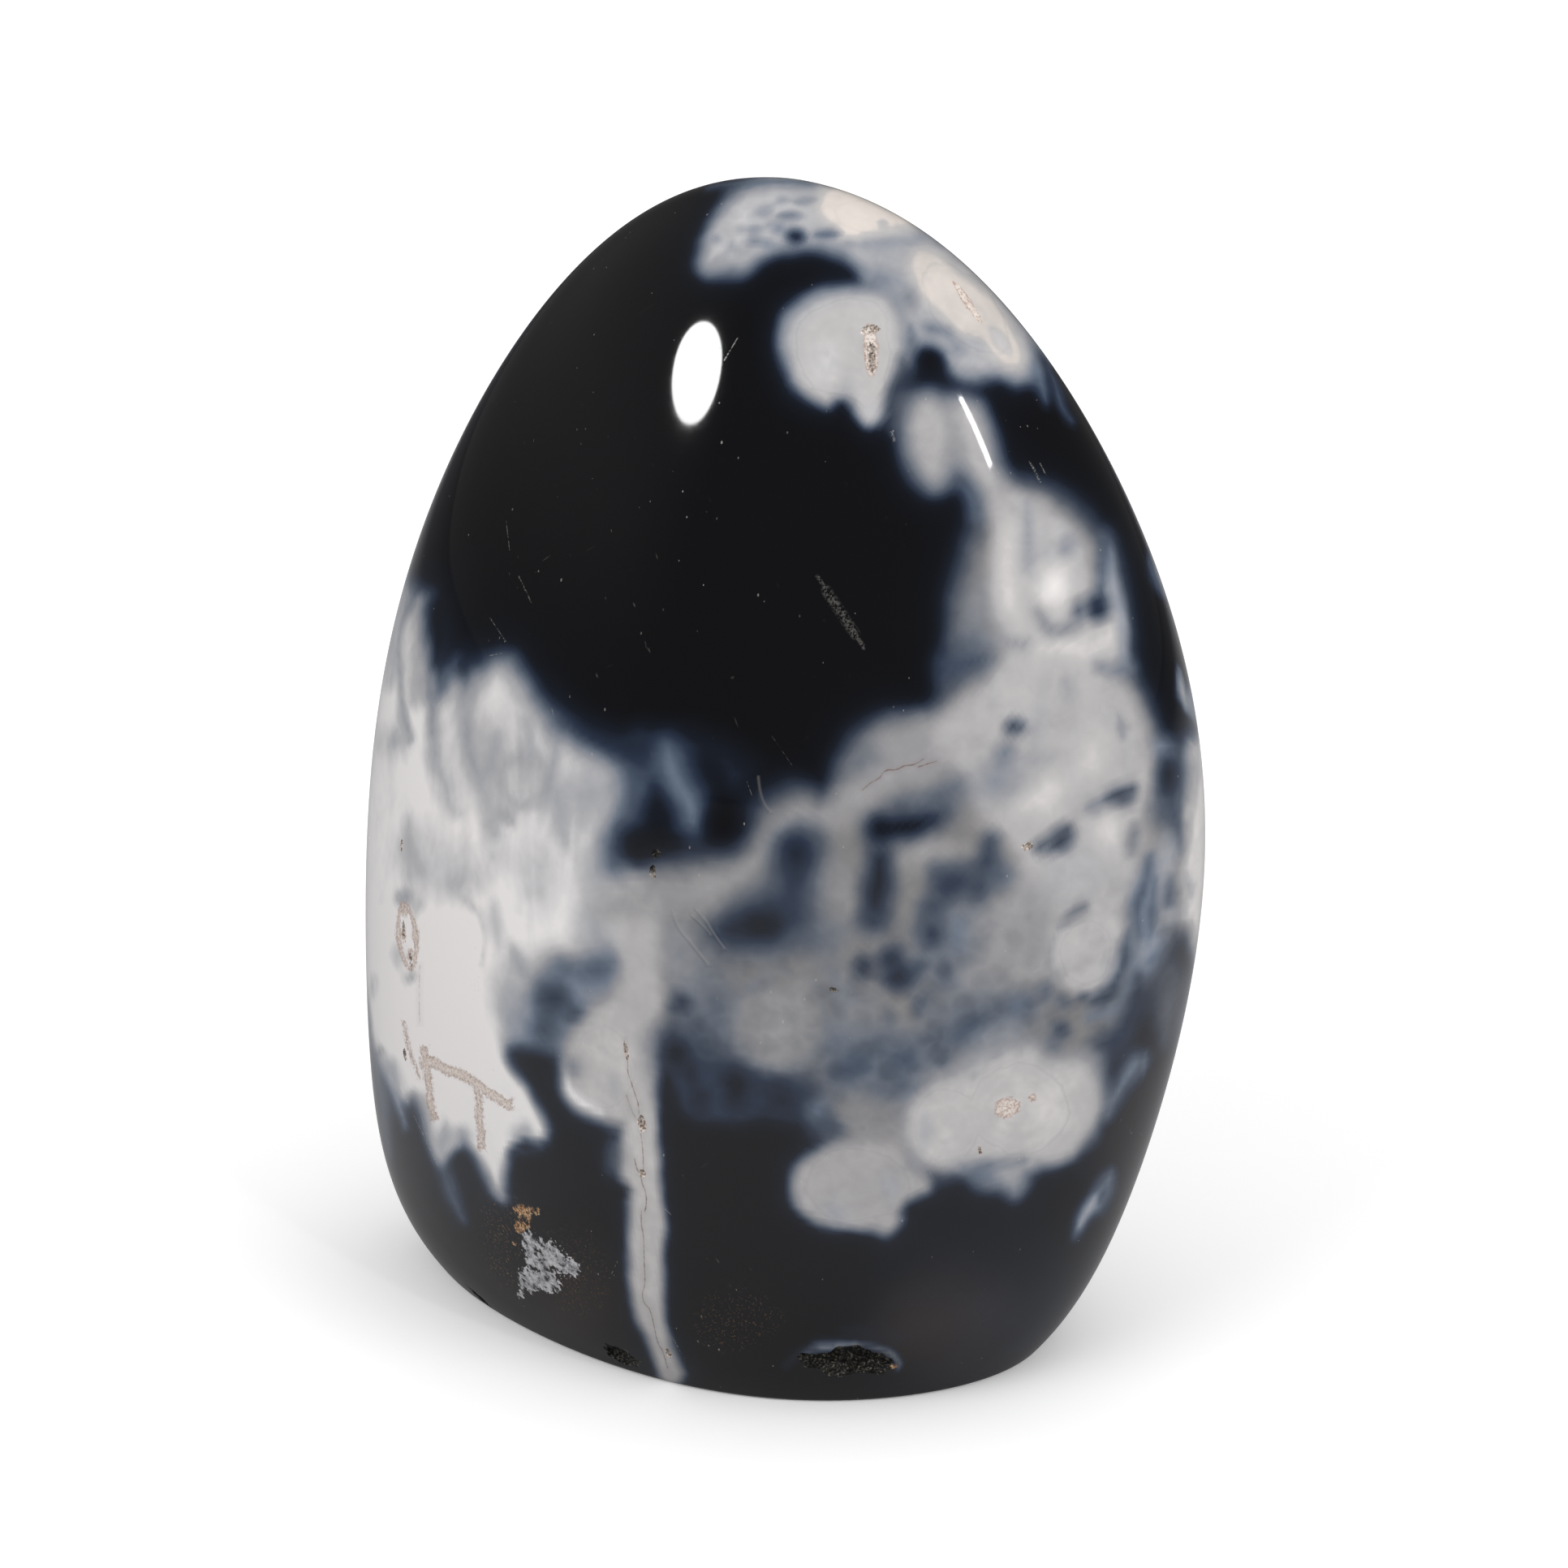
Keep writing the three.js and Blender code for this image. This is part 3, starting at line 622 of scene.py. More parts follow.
    Strand(.25, BLUE, 1.4, ((-2.8, 28.2, .2), (-2.4, 26.8, .2), (-1.8, 25.2, .2), (.4, 24.8, .2))),
    Spot(.03, BLUE, 1.4, (-10.7, 26.2), (.4, 2)),
    Spot(.6, WARM, 1.25, (-.6, 32.5), (3.6, 3.8)),
    Spot(.66, WARM, 2.4, (-.7, 32.4), (2.4, 2.6)),
    Spot(.54, PLAIN, .6, (-.6, 33.1), (4, 4.4), 0, .06),
    Spot(.62, WARM, 1.62, (7.4, 24.6), (2.2, 1.3), 4),
    Spot(.48, BLUE, 1.38, (3, 25.4), (.8, .8)),
    Spot(.28, BLUE, 1.25, (4, 23.9), (1.2, .7), -10),
    # the orb near the right end
    Spot(.83, WARM, 1, (27, 39.3), (3.35, 4), -12),
    Strand(.24, BLUE, 1, ((30.3, 40.8, .15), (30.1, 39.4, .5), (29.5, 37.6, .6), (28.6, 36, .6),
        (27.3, 35, .5), (26, 35.1, .15))),
    Strand(.54, BLUE, .88, ((30.9, 38.4, .2), (30.3, 36.2, .35), (28.9, 34.2, .35), (26.6, 33.6, .3))),
    Strand(.44, PLAIN, .8, ((24.2, 41.8, .15), (25.2, 42.7, .35), (26.4, 43.3, .15))),
    Spot(.4, COOL, .9, (22.7, 35.7), (.6, .7)),
    Strand(.68, PLAIN, .6, ((24, 36.2, .1), (23.2, 37.6, .12), (23.3, 39.4, .08), (24.2, 41.8, .1))),
    Spot(.4, COOL, .88, (24.4, 34.7), (.7, .5), -20),
    Spot(.76, PLAIN, 1.3, (28.2, 37.8), (.7, .6), 10),
    Cloud(.64, BLUE, 1.4, ((30.4, 44.6), (31.2, 46.4), (31.9, 47.2), (32.4, 46), (32.8, 44), (32.6, 42),
        (33.2, 40.4), (33.4, 38.8), (32.8, 37), (31.4, 36.4), (30.9, 39), (30.7, 42))),
    Strand(.36, BLUE, 1, ((32, 47.4, .2), (31.5, 45, .5), (31, 43, .4), (31.1, 40.8, .2))),
    Strand(.4, BLUE, .9, ((32.6, 45.2, .1), (32.3, 43, .4), (32.2, 40.8, .1))),
    Spot(.56, BLUE, .88, (32.5, 38.6), (.6, .8), 0),
    Cloud(.2, BLUE, 1.62, ((31.2, 36.6), (30.6, 34.8), (29.4, 33.2), (28.2, 32.2), (27, 31.2), (28.4, 30.2),
        (29.6, 30.4), (31.4, 33.6), (31.9, 35.6))),
    Spot(.24, BLUE, 1, (24.3, 32.3), (.75, .6)),
    Spot(.38, COOL, 1, (23.3, 31), (.7, .6), 20),
    Cloud(.06, PLAIN, 1.8, ((33.2, 38), (34, 38.9), (35.2, 38.6), (36, 36.6), (36, 34), (34, 24), (30, 18),
        (26, 19.6), (27.4, 23), (28.4, 26.4), (30.4, 30.2), (31.6, 33), (32.2, 36))),
    Spot(.5, WARM, 2.6, (33.8, 34.6), (1, 3.2), -4),
    # painted light: a broad faint paling of the black low on the right, near the foot
    Spot(.17, PLAIN, 8, (18, 7.6), (7, 5)),
    Cloud(.62, BLUE, 1.3, ((31.8, 30), (31.2, 28.4), (30, 27), (29, 25.8), (28.4, 24.8), (28.5, 26.4),
        (29.2, 27.8), (30, 29.2), (31, 30.2))),
    Spot(.5, BLUE, .62, (31.7, 29.4), (.12, .9), -4),
    Cloud(.58, BLUE, 1, ((25.5, 14.2), (25.6, 15.6), (26.3, 17.2), (27.4, 18.6), (28.7, 19.9), (28.8, 18.8),
        (28.3, 17.2), (27.8, 16.2), (27, 15.8), (26.2, 14.8))),
    Strand(.8, COOL, .62, ((26.1, 15.2, .1), (26.7, 16.6, .3), (27.1, 17.4, .1))),
    Spot(.3, BLUE, .5, (27.9, 17.8), (.2, .7), -25),
    # the pair of orbs low on the right
    Cloud(.63, PLAIN, 1.22, ((10.6, 22.4), (10.5, 25.2), (12, 27.8), (15.2, 29.4), (16.8, 31.4), (18.8, 32.9),
        (20.6, 32.6), (21.8, 31.2), (23.6, 30.2), (26, 30.4), (27.8, 29.2), (28.3, 27), (27.8, 24.4),
        (26.6, 22.2), (20, 20))),
    Cloud(.85, WARM, .9, ((10.9, 22.6), (10.8, 24.4), (11.6, 26), (13, 27.3), (15, 28.2), (16.6, 28.8),
        (18, 29.8), (20, 30.5), (21.8, 30.2), (22.9, 29.4), (24, 29.5), (25.6, 29.4), (26.8, 28.4),
        (27.3, 26.6), (27.1, 24.6), (26.2, 22.6), (25, 21.2), (23.4, 20.9), (22.2, 20.9), (21.4, 20.3),
        (20, 20.6), (18.4, 20.6), (16.4, 20.4), (15, 20.4), (13.4, 20.3), (12.2, 21)), .3, .9),
    Cloud(.74, PLAIN, 1.2, ((14.8, 20.6), (22, 20.9), (21.4, 19.6), (20.9, 18.4), (20, 17.8), (18.8, 18.3),
        (17.4, 18.5), (16.4, 19.6)), .3, .9),
    Spot(.74, COOL, 1.12, (12.3, 23.4), (.35, 1.1), 0),
    Strand(.5, COOL, .9, ((15.6, 20.2, .1), (17.2, 20.2, .3), (19.2, 20.6, .2), (21.2, 21, .05))),
    Spot(.4, BLUE, 1.3, (17, 19.4), (1, .4), -10),
    Spot(.9, WARM, 2.5, (22.6, 25.4), (1.8, 1.8)),
    Strand(.7, PLAIN, .5, ((16.4, 28.1, .05), (17.4, 29.2, .12), (19, 30.2, .1), (20.8, 30.3, .05))),
    Cloud(.76, WARM, .81, ((.6, 18), (.6, 19.6), (1.2, 20.7), (2.6, 21.6), (4.2, 22.2), (6, 22.6), (8, 22.8),
        (9.8, 22.4), (11, 21.4), (11.8, 20.2), (12.6, 19.2), (12.6, 18.2), (11.6, 17.6), (10.6, 17.2),
        (10.2, 16.4), (10.3, 15.4), (9.8, 14.5), (9, 14.2), (7.6, 14.6), (6, 14.9), (4, 15.2), (2.4, 15.6),
        (1.3, 16.6)), .3, .7),
    Spot(.66, PLAIN, 1.12, (11.7, 20.9), (.4, 1), 25),
    Spot(.75, COOL, 1.12, (9.3, 18.6), (.5, .8)),
    Spot(.74, COOL, 1.12, (4.6, 16.4), (1, .5), -30),
    # the crown
    Cloud(.74, PLAIN, 1.22, ((-7.6, 100.2), (-7, 102.2), (-5.8, 104.2), (-4.6, 105.8), (-2.6, 107.4),
        (2, 112), (16, 108), (24, 98), (22.2, 93), (22, 90.2), (20.6, 89.2), (18.8, 89.9), (16.6, 89.7),
        (14.8, 90.2), (14, 91.8), (12.8, 92.6), (11.6, 92.3), (10.8, 91), (10.2, 92), (9.8, 96), (8.2, 97.8),
        (6.8, 98.2), (6.2, 99.4), (4.8, 100.5), (2.4, 101.1), (0, 100.9), (-1.8, 100.1), (-3.2, 98.9),
        (-5, 98.8), (-7.2, 98.9)), .26, .8),
    Cloud(.84, PLAIN, 1.3, ((-7, 100.6), (-6.3, 102.4), (-5, 104.6), (-3.6, 105.8), (-1.6, 106.1), (0, 105.8),
        (2, 104.8), (1.8, 103.4), (.2, 103.2), (-1.4, 102.4), (-2.4, 101.4), (-3.6, 100.7), (-5.4, 100.4))),
    Spot(.66, COOL, .65, (-2.3, 104.4), (1.1, .5), 14),
    Spot(.64, COOL, .65, (-3.2, 102.9), (.85, .45), -6),
    Spot(.66, COOL, .65, (-.5, 105.2), (.7, .3), 16),
    Spot(.56, COOL, .65, (.3, 103.9), (1.1, .4), 4),
    Spot(.54, BLUE, .65, (-.9, 102.7), (.55, .4), 0),
    Spot(.68, COOL, .65, (-1.7, 103.1), (.4, .35), 30),
    Spot(.6, COOL, .65, (-2.8, 101.7), (.7, .4), 0),
    Spot(.66, COOL, .65, (-4.8, 101.3), (.35, .55), -32),
    Spot(.7, COOL, .5, (-6, 102.2), (.5, .45), 0),
    Spot(.56, BLUE, .65, (-1.7, 101.4), (.6, .3), -10),
    Spot(.6, COOL, .65, (1.6, 105.4), (.9, .25), 8),
    Strand(.46, BLUE, .75, ((-6.6, 106.4, .1), (-3.6, 107, .25), (0, 107, .25), (2.2, 106.7, .1))),
    Cloud(.87, CREAM, .81, ((2.6, 104.5), (3, 105.6), (3.6, 106.4), (6, 107.4), (10, 106), (11.6, 103.6),
        (10.2, 102.9), (8.6, 102.6), (7.2, 102.4), (6.4, 101.9), (5.2, 102), (4.6, 102.7), (3.4, 103.5)), .24,
        .6),
    Spot(.72, PLAIN, .5, (8.6, 103.3), (.3, .12), 0),
    Spot(.05, BLUE, .81, (.8, 102.1), (.9, .5)),
    Spot(.32, BLUE, .88, (3.6, 102.3), (.9, .3), 4),
    Strand(.64, COOL, .9, ((5.4, 101.4, .1), (8, 101.6, .2), (10.6, 101.9, .3), (12.2, 102.3, .3),
        (13.4, 101.4, .1))),
    Cloud(.82, CREAM, .74, ((10.7, 99.4), (10.9, 100.6), (11.7, 101.2), (12.8, 100.9), (14.6, 99.8),
        (17, 97.9), (18.6, 96.4), (19.9, 94.5), (20.7, 92.8), (20.8, 91.5), (20.3, 90.7), (19.3, 90.7),
        (18.2, 91.3), (17, 92.2), (15.4, 93.6), (14.3, 94.8), (13.1, 95.9), (11.9, 96.8), (11.3, 98.2)), .26,
        .7),
    Spot(.84, PLAIN, 1, (18.7, 93), (1, .35), -48),
    Spot(.74, COOL, .62, (16.6, 92.6), (1.1, .3), -32),
    Spot(.78, PLAIN, 1.12, (15.7, 90.9), (1.3, .6), -15),
    Spot(0, BLUE, 1.12, (12.5, 91), (.9, .8), 10),
    Spot(.36, COOL, 1, (11, 93), (.35, 1.1)),
    Spot(.46, COOL, .88, (13.1, 94), (.8, .45), -10),
    Spot(.5, COOL, .88, (14.5, 93.6), (.3, .5)),
    Spot(.54, COOL, 1, (15, 92.2), (.4, .6)),
    Spot(.5, PLAIN, 1.12, (11, 96.6), (.5, .6)),
    Spot(.56, COOL, 1.5, (8.4, 98.4), (1.8, .5), -20),
    Strand(.5, BLUE, .88, ((21.8, 90.4, .4), (22.6, 88.6, .35), (23.1, 87.6, .1))),
    Strand(.44, BLUE, .75, ((23.1, 90.4, .1), (24.1, 88.2, .3), (25.2, 86.2, .1))),
    Strand(.66, PLAIN, .62, ((21.6, 93.6, .2), (22.6, 92.3, .25), (23.4, 91, .1))),
    Cloud(.78, PLAIN, 1.3, ((-.6, 92.8), (-.2, 94.5), (.8, 95.8), (2.4, 96.9), (4.2, 97.4), (6.2, 97.5),
        (8.4, 97.1), (9.6, 95.8), (9.9, 93), (9.4, 90), (5, 88.8), (1.6, 89), (.2, 90.2), (-.4, 91.4)), .34,
        .8),
    Cloud(.83, WARM, .94, ((1, 91), (1.1, 92.6), (1.6, 94), (2.4, 95), (3.6, 95.9), (5, 96.2), (7, 96.3),
        (8.6, 96), (9.6, 95), (9.9, 93), (9.8, 91), (9.5, 89), (9.1, 87.3), (8.4, 86.2), (7.4, 85.8),
        (6.7, 86.2), (6.1, 87.1), (5.4, 87.9), (4.6, 87.8), (4, 87.4), (3.2, 87.7), (2, 88.6), (1.2, 89.6)),
        .22, .7),
    Spot(.74, PLAIN, 1, (5.5, 88.6), (.7, .5)),
    Spot(.84, PLAIN, 1, (7.7, 86.6), (1, .7)),
    Spot(.86, PLAIN, 1.25, (3.4, 91), (.9, 1.4)),
    Strand(.26, PLAIN, 1.25, ((10.3, 91.2, .2), (10.4, 89.6, .5), (10.1, 87.6, .5), (9.4, 85.6, .3))),
    Cloud(.76, WARM, 1.62, ((10.5, 84.4), (10.7, 86.6), (11.5, 88), (12.7, 88.4), (14, 87.8), (15, 86),
        (15, 83), (14.2, 80.8), (13, 79.9), (11.8, 80.6), (10.9, 82.3)), .22, 1),
    Cloud(.77, WARM, 1.49, ((14.6, 87.4), (15.6, 88.2), (16.9, 87.4), (17.8, 85.4), (18.6, 82.8),
        (19.6, 80.4), (20.4, 78.2), (18.4, 77.6), (17.2, 79.6), (15.8, 81.2), (15, 83)), .18, 1),
    Strand(.46, BLUE, 1.38, ((15.2, 80.4, .1), (16.4, 79.2, .4), (16.9, 77.8, .3))),
    # pale lips of the foot vug
    Strand(.62, PLAIN, .5, ((1.8, 3.9, .05), (2.8, 4.5, .3), (4.4, 4.75, .35), (6, 4.75, .2))),
    Strand(.52, WARM, .5, ((6, 4.7, .15), (7.8, 4.5, .25), (9.2, 3.9, .3), (9.9, 3, .25), (9.8, 2.4, .1))),
    Strand(.24, PLAIN, .5, ((.2, 2.8, .05), (1.4, 3.8, .1), (2.6, 4.5, .05))),
    Spot(.16, PLAIN, 1.5, (8, 5.6), (3, .5), -8),
)

# The hidden side, as it is seen from behind
BACK = (
    Cloud(.42, COOL, 3.4, ((34, 60), (24, 50), (14, 42), (2, 40), (-8, 42), (-18, 48), (-26, 52), (-34, 50),
        (-34, 34), (-26, 28), (-14, 24), (-2, 27), (8, 30), (18, 26), (28, 24), (38, 28)), .24, 2.4),
    Cloud(.66, WARM, 3, ((34, 56), (25, 47), (18, 41), (9, 38.6), (1, 36.6), (-6, 38.6), (-12, 43.4),
        (-19, 46.4), (-27, 49), (-34, 48), (-34, 42), (-25, 40), (-17, 36), (-9, 32.4), (0, 32.6), (9, 34.4),
        (17, 34), (26, 33)), .2, 2),
    Cloud(.97, WARM, 2.1, ((46, 70), (36, 68.5), (33, 66), (31.5, 62), (28.5, 63), (26, 59), (24, 53),
        (20, 49.5), (17.5, 44), (19, 39), (17, 34), (20.5, 30), (23.5, 31), (26, 26.5), (28.4, 22), (30, 25),
        (32, 23), (36, 27), (46, 30)), .3, 1.6),
    Spot(.8, COOL, 3, (26, 47), (1.6, 5), 20),
    Spot(.74, COOL, 2.4, (23.4, 36), (1.2, 2.6), -15),
    Spot(.3, BLUE, 1.8, (22.5, 40.5), (1, 1.4), 15),
    Spot(.8, PLAIN, .9, (29.4, 52.4), (2.2, 2.6), 10, .1),
    Strand(.8, COOL, 1.2, ((33, 62, .2), (32, 54, .35), (31.4, 47, .2))),
    Strand(.76, COOL, 1.2, ((29.4, 60, .1), (28.6, 56, .3), (27.4, 53, .1))),
    Strand(.83, WARM, .9, ((9, 33, 1.6), (8.2, 28, 1.3), (8.6, 22, 1.5), (7.6, 16, 1.2), (7.9, 10, 1.3),
        (7.1, 5, 1.1), (7.4, -1, 1.3)), .26, .9),
    Spot(.86, WARM, 1.1, (11.6, 29.4), (3.6, 3.1), -20, 0, .28, 1),
    Cloud(.92, WARM, 1.7, ((-46, 55), (-36, 54.5), (-33, 52), (-31, 48.5), (-31.6, 44), (-34, 40), (-36, 37),
        (-46, 38)), .28, 1.4),
    Cloud(.9, WARM, 1.3, ((-16.4, 60.6), (-15.6, 65.4), (-12.4, 69), (-8.2, 69.8), (-4.2, 67.4), (-2.2, 63),
        (-3, 57.6), (-6.4, 54.2), (-10.2, 53.4), (-14, 55.6)), .3, 1.3),
    Spot(.8, PLAIN, .7, (-9.6, 61.4), (5.2, 6), 12, .1),
    Spot(.76, COOL, 2, (-6.4, 57.4), (1.6, 1.2), 35),
    Cloud(.84, WARM, 1.3, ((-23, 55.4), (-21.6, 58.4), (-18.4, 59.4), (-15.2, 57.4), (-14.2, 54),
        (-16.4, 51.2), (-20, 50.8), (-22.6, 52.8)), .3, 1.2),
    Spot(.8, PLAIN, 1.4, (-3.2, 51.6), (3, 2.6), 30, 0, .3, 1.2),
    Spot(.1, BLUE, 1.2, (-14.2, 52.8), (1.1, .8), 20),
    Spot(.16, BLUE, 1.3, (-7.2, 51.4), (.8, 1)),
    Spot(.24, BLUE, 1.5, (-21.8, 45.6), (1.5, .8), -25),
    Spot(.28, BLUE, 1.5, (3.4, 36.4), (1.1, .9)),
    Spot(.26, BLUE, 1.6, (-12.4, 35.2), (1.6, 1), 15),
    Spot(.3, BLUE, 1.4, (-1.6, 33.4), (1.5, .9), -20),
    Spot(.34, BLUE, 1.3, (13.4, 37.4), (1, 1.3), 25),
    Spot(.36, BLUE, 1.3, (-26.4, 43.6), (1.3, .9), 10),
    Spot(.3, BLUE, 1.2, (-6.8, 31.4), (.9, .8), 0),
    Spot(.38, BLUE, 1.4, (-18.6, 33.4), (1.2, .8), 30),
    Spot(.74, WARM, 2, (-3.6, 39.6), (2.6, 1.8), 10),
    Spot(.76, WARM, 2, (-17.4, 40.6), (2.4, 2.2), -10),
    Spot(.8, WARM, 2.2, (13.6, 42), (2.2, 1.4), -30),
    Spot(.6, PLAIN, .8, (-17.2, 40.4), (3.2, 3), 0, .1),
    Cloud(.88, WARM, 1.2, ((-24, 25.4), (-21.6, 28.2), (-18, 29), (-15, 27.6), (-12.2, 28.4), (-9.4, 26.6),
        (-8.4, 23.2), (-9.8, 19.8), (-13, 18.8), (-15.4, 20), (-17.2, 17.2), (-20.4, 16.6), (-22.8, 19),
        (-24.4, 22)), .3, 1),
    Spot(.7, COOL, 1.4, (-15.4, 24.2), (.5, 2.6), 8),
    Strand(.46, BLUE, 1.1, ((-29.4, 15.6, .2), (-28.2, 18.6, .6), (-27.6, 22, .2))),
    Cloud(.72, COOL, 1.8, ((-26, 99), (-22.6, 94), (-19, 88.4), (-15, 84.6), (-11.6, 86), (-8.4, 90.4),
        (-4.6, 92.2), (-1, 90), (2.6, 91.6), (5.6, 95.6), (8.8, 99), (12, 108), (0, 116), (-20, 112)), .3,
        1.6),
    Cloud(.93, CREAM, 1.1, ((-17.6, 91), (-16.8, 95), (-13.4, 96.8), (-10.2, 94.6), (-9.2, 90.8),
        (-10.6, 87.2), (-13.4, 85.8), (-16.4, 87.6)), .26, 1.1),
    Spot(.82, PLAIN, .6, (-13.4, 91.4), (2.8, 3.7), -25, .08),
    Spot(.88, PLAIN, 2.2, (-1.4, 98.6), (5.2, 3.4), 10),
    Spot(.62, COOL, 1.8, (-7, 92.4), (1.2, 2.2), 15),
    Spot(.12, BLUE, 1, (-7.6, 96.4), (.9, .7)),
    Strand(.36, BLUE, 1.8, ((14, 76, .4), (15.4, 72, .9), (16.8, 68.4, .4))),
    Strand(.38, BLUE, 1.6, ((-27, 79, .2), (-28.6, 74, .7), (-29.4, 69, .3))),
)


@dataclass(frozen=True)
class Zone:
    """A region of the front where the finish adds something of its own."""

    name: str
    marks: tuple[Mark, ...]

    def strength(self, at: np.ndarray) -> np.ndarray:
        """How strong the zone is at each place, from 0 to 1."""
        left = np.ones(len(at))
        for mark in self.marks:
            left *= 1 - mark.level * smooth(0.5 - mark.distance(at) / (2 * mark.soft))
        return 1 - left


@dataclass(frozen=True)
class Patch(Zone):
    """A zone whose edge the finish draws itself, from the distance to it."""

    widest: float = 2.0
    gaps: tuple[Mark, ...] = ()

    def strength(self, at: np.ndarray) -> np.ndarray:
        """Distance in millimetres to the nearest edge, below zero inside."""
        nearest = np.min([mark.distance(at) for mark in self.marks], 0)
        for gap in self.gaps:
            nearest = np.maximum(nearest, -gap.distance(at))
        return np.clip(nearest, -self.widest, self.widest)


ZONES = (
    # the mesh of small cells
    Zone("net", (
        Cloud(1, COOL, 2, ((-8, 100), (-7, 103), (-4, 106), (0, 106), (3, 103.6), (4.6, 101.6), (1, 101.6),
            (-3, 99.4))),
        Cloud(.4, COOL, 2, ((8, 101), (12, 103), (13, 98), (11, 93), (14, 91), (17, 90), (11, 92.6),
            (9.6, 97))),
        Cloud(.8, COOL, 4, ((-10, 41), (0, 38), (8, 40), (20, 44), (23, 38), (21, 32), (10, 25), (2, 24),
            (-9, 27))),
        Cloud(.7, COOL, 2.5, ((22, 37), (30, 46), (34, 46), (33, 36), (29, 30), (22, 31))),
    )),
    # upright streaks
    Zone("streaks", (
        Cloud(1, COOL, 4, ((-40, 70), (-28, 63), (-20, 57), (-17, 50), (-20, 42), (-28, 36), (-40, 36))),
        Cloud(.6, COOL, 3, ((30, 52), (34, 50), (34, 38), (30, 40))),
    )),
    # faint rings inside the round growths
    Zone("ringed", (
        Spot(.9, WARM, 1, (5, 92), (5.2, 5.2)),
        Spot(.8, WARM, 1, (15.8, 95.6), (3.4, 6.6), 40),
        Spot(.6, WARM, 1, (7, 103.8), (5, 2.2), -8),
        Spot(.7, WARM, 1, (26.4, 39.2), (3.4, 4.3), -12),
        Spot(.8, WARM, 1.5, (20, 25), (8.6, 5.6), 8),
        Spot(.6, WARM, 1.5, (6.6, 18.8), (6.4, 4.4)),
        Spot(.5, WARM, 1.2, (-16.2, 29), (4, 4.4)),
    )),
    Patch("rind", (
        Cloud(1, WARM, 1, ((.3, 92), (.5, 94.2), (1.6, 95.8), (3.6, 96.9), (6, 97.2), (8.4, 96.6), (9.7, 95),
            (9.9, 92.6), (9.8, 89.8), (9.4, 87.6), (8.4, 86.3), (6.6, 86.5), (4.6, 87.6), (2.5, 88.1),
            (.5, 90.5))),
        Spot(1, WARM, 1, (15.9, 95.7), (3.2, 6.3), 41),
        Spot(1, WARM, 1, (7, 103.8), (4.6, 1.9), -8),
        Spot(1, WARM, 1, (26.4, 39.2), (2.9, 3.8), -12),
        Spot(1, WARM, 1, (20.6, 25.4), (5.2, 4.6), 0),
        Spot(1, WARM, 1, (14.2, 24), (3.6, 4), 0),
        Spot(1, WARM, 1, (6.4, 18.8), (5.8, 3.9)),
        Spot(1, WARM, 1, (-16, 29), (3.6, 4.3)),
    ), 4.0),
    # brown light from deep in the stone
    Zone("glow", (
        Spot(1, WARM, 5, (14.2, 6.6), (4.4, 2.2), 15),
        Spot(.35, WARM, 5, (30, 26), (3, 8), 15),
        Spot(.3, WARM, 4, (-19, 8), (4, 4)),
    )),
    # the rough pale scar above the foot, and the rust-coloured grains beside it
    Patch("scar", (
        Cloud(1, PLAIN, 1, ((-22.8, 14.4), (-22.4, 14.3), (-21.4, 13.4), (-20.2, 13.1), (-19.4, 12.4),
            (-18.2, 11.8), (-18.1, 11.2), (-18.8, 10.8), (-20, 11), (-20.6, 11.2), (-20.8, 11.1), (-20, 9.7),
            (-20.5, 9.4), (-21.1, 9.8), (-22, 9.6), (-22.6, 9.5), (-23, 10.2), (-22.7, 11.4), (-23.2, 14.1))),
        Cloud(1, PLAIN, 1, ((-23.2, 11.3), (-23.5, 10.6), (-23.4, 9.1), (-23, 9.9), (-22.9, 10.9))),
    ), 2.0, (
        Spot(1, PLAIN, 1, (-21.6, 12.75), (.4, .25), 20),
        Spot(1, PLAIN, 1, (-21.9, 11.3), (.35, .3)),
        Spot(1, PLAIN, 1, (-20.6, 11.6), (.35, .25)),
    )),
    Patch("rust", (
        Spot(1, WARM, 1, (-23.5, 16.5), (.5, .55)),
        Spot(1, WARM, 1, (-22.9, 16.3), (.3, .55)),
        Spot(1, WARM, 1, (-22.2, 16.4), (.35, .35)),
        Spot(1, WARM, 1, (-23.5, 14.9), (.5, .55)),
        Spot(1, WARM, 1, (-22.8, 15.1), (.35, .3)),
        Spot(1, WARM, 1, (-24.1, 13.7), (.2, .35)),
        Spot(1, WARM, 1, (9.5, 2.7), (.35, .25)),
    )),
    # dim grains round the scar and in the foot
    Zone("grains", (
        Cloud(1, WARM, 2.4, ((-26, 16.4), (-24.4, 17), (-23.8, 13), (-24.4, 10), (-26.2, 12))),
        Cloud(.6, WARM, 3, ((-21, 14), (-17.4, 13), (-16.8, 8.6), (-20, 8))),
        Spot(.5, WARM, 3, (-4.4, 6.6), (3, 2)),
        Spot(.9, WARM, .8, (-27, 36.4), (.3, 1.2), -20),
    )),
    # fine wear, with tiny painted glints among its pale specks
    Zone("worn_and_glinting", (
        Cloud(.8, COOL, 6, ((-26, 84), (-16, 84), (-12, 74), (-16, 64), (-26, 66))),
        Spot(.5, COOL, 6, (-8, 66), (8, 8)),
        Spot(.6, COOL, 4, (-6, 15), (3.5, 5)),
        Spot(.8, COOL, 2, (19.5, 87), (3.4, 4.6)),
        Spot(1, COOL, 1.2, (8.6, 98.2), (2, 1.3), -15),
        Spot(.8, COOL, 2, (22, 81.4), (1.6, 1.8)),
    )),
)


@contextmanager
def editing(piece: bpy.types.Object) -> Iterator[bmesh.types.BMesh]:
    """Opens one piece alone in edit mode, and closes it again."""
    bpy.ops.object.select_all(action="DESELECT")
    piece.select_set(True)
    bpy.context.view_layer.objects.active = piece
    bpy.ops.object.mode_set(mode="EDIT")
    bpy.ops.mesh.select_mode(type="EDGE")
    bpy.ops.mesh.select_all(action="DESELECT")
    yield bmesh.from_edit_mesh(piece.data)
    bpy.ops.object.mode_set(mode="OBJECT")


